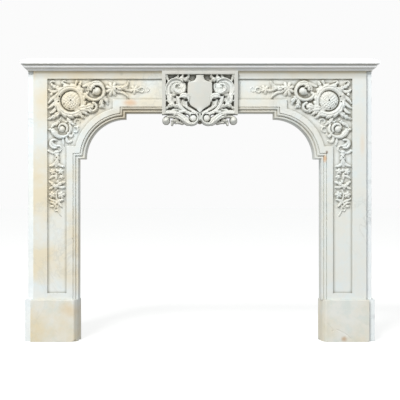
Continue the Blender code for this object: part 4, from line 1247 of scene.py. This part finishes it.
bpy.ops.mesh.primitive_plane_add(size=stageLook["floorSize"], location=(0, 0, -0.0005))
floor = bpy.context.active_object
floor.name = "floor"
floorMaterial = bpy.data.materials.new("PaleFloor")
floorMaterial.use_nodes = True
floorShader = floorMaterial.node_tree.nodes["Principled BSDF"]
floorShader.inputs["Base Color"].default_value = hexToLinear(stageLook["floorColour"])
floorShader.inputs["Roughness"].default_value = 0.9
floorShader.inputs["Emission Color"].default_value = (1, 1, 1, 1)
floorShader.inputs["Emission Strength"].default_value = stageLook["floorGlow"]
floor.data.materials.append(floorMaterial)

# the floor is seen, but the light from below is the darker half of the world's
floor.visible_diffuse = False
floor.visible_glossy = False

world = bpy.data.worlds.new("PaleStudio")
world.use_nodes = True
bpy.context.scene.world = world
studio = world.node_tree
backdrop = studio.nodes["Background"]
direction = addNode(studio, "TexCoord").outputs["Generated"]
height = addNode(studio, "SeparateXYZ", Vector=direction).outputs["Z"]
strength = addNode(studio, "MapRange", {"From Min": -0.3, "From Max": 0.3, "To Min": stageLook["groundStrength"],
                                        "To Max": stageLook["skyStrength"]}, Value=height)
studio.links.new(strength.outputs[0], backdrop.inputs["Strength"])
backdrop.inputs["Color"].default_value = (0.97, 0.99, 1.0, 1)
seen = addNode(studio, "Background", {"Color": stageLook["seenColour"], "Strength": 1.0})
path = addNode(studio, "LightPath")
mixed = addNode(studio, "MixShader", i0=path.outputs["Is Camera Ray"], i1=backdrop.outputs[0], i2=seen.outputs[0])
studio.links.new(mixed.outputs[0], studio.nodes["World Output"].inputs["Surface"])

lamp = bpy.data.lights.new("keyLight", "AREA")
lamp.size = stageLook["keySize"]
lamp.energy = stageLook["keyPower"]
key = bpy.data.objects.new("keyLight", lamp)
bpy.context.scene.collection.objects.link(key)
key.location = stageLook["keyPlace"]
key.rotation_euler = (Vector(stageLook["keyAim"]) - key.location).to_track_quat("-Z", "Y").to_euler()

lens = bpy.data.cameras.new("camera")
lens.lens = stageLook["lens"]
lens.sensor_width = stageLook["sensor"]
lens.shift_x, lens.shift_y = stageLook["shift"]
camera = bpy.data.objects.new("camera", lens)
camera.location = stageLook["cameraPlace"]
camera.rotation_euler = (math.radians(90), 0, 0)
bpy.context.scene.collection.objects.link(camera)
bpy.context.scene.camera = camera
bpy.context.scene.view_settings.view_transform = "Standard"
print("stage ready")
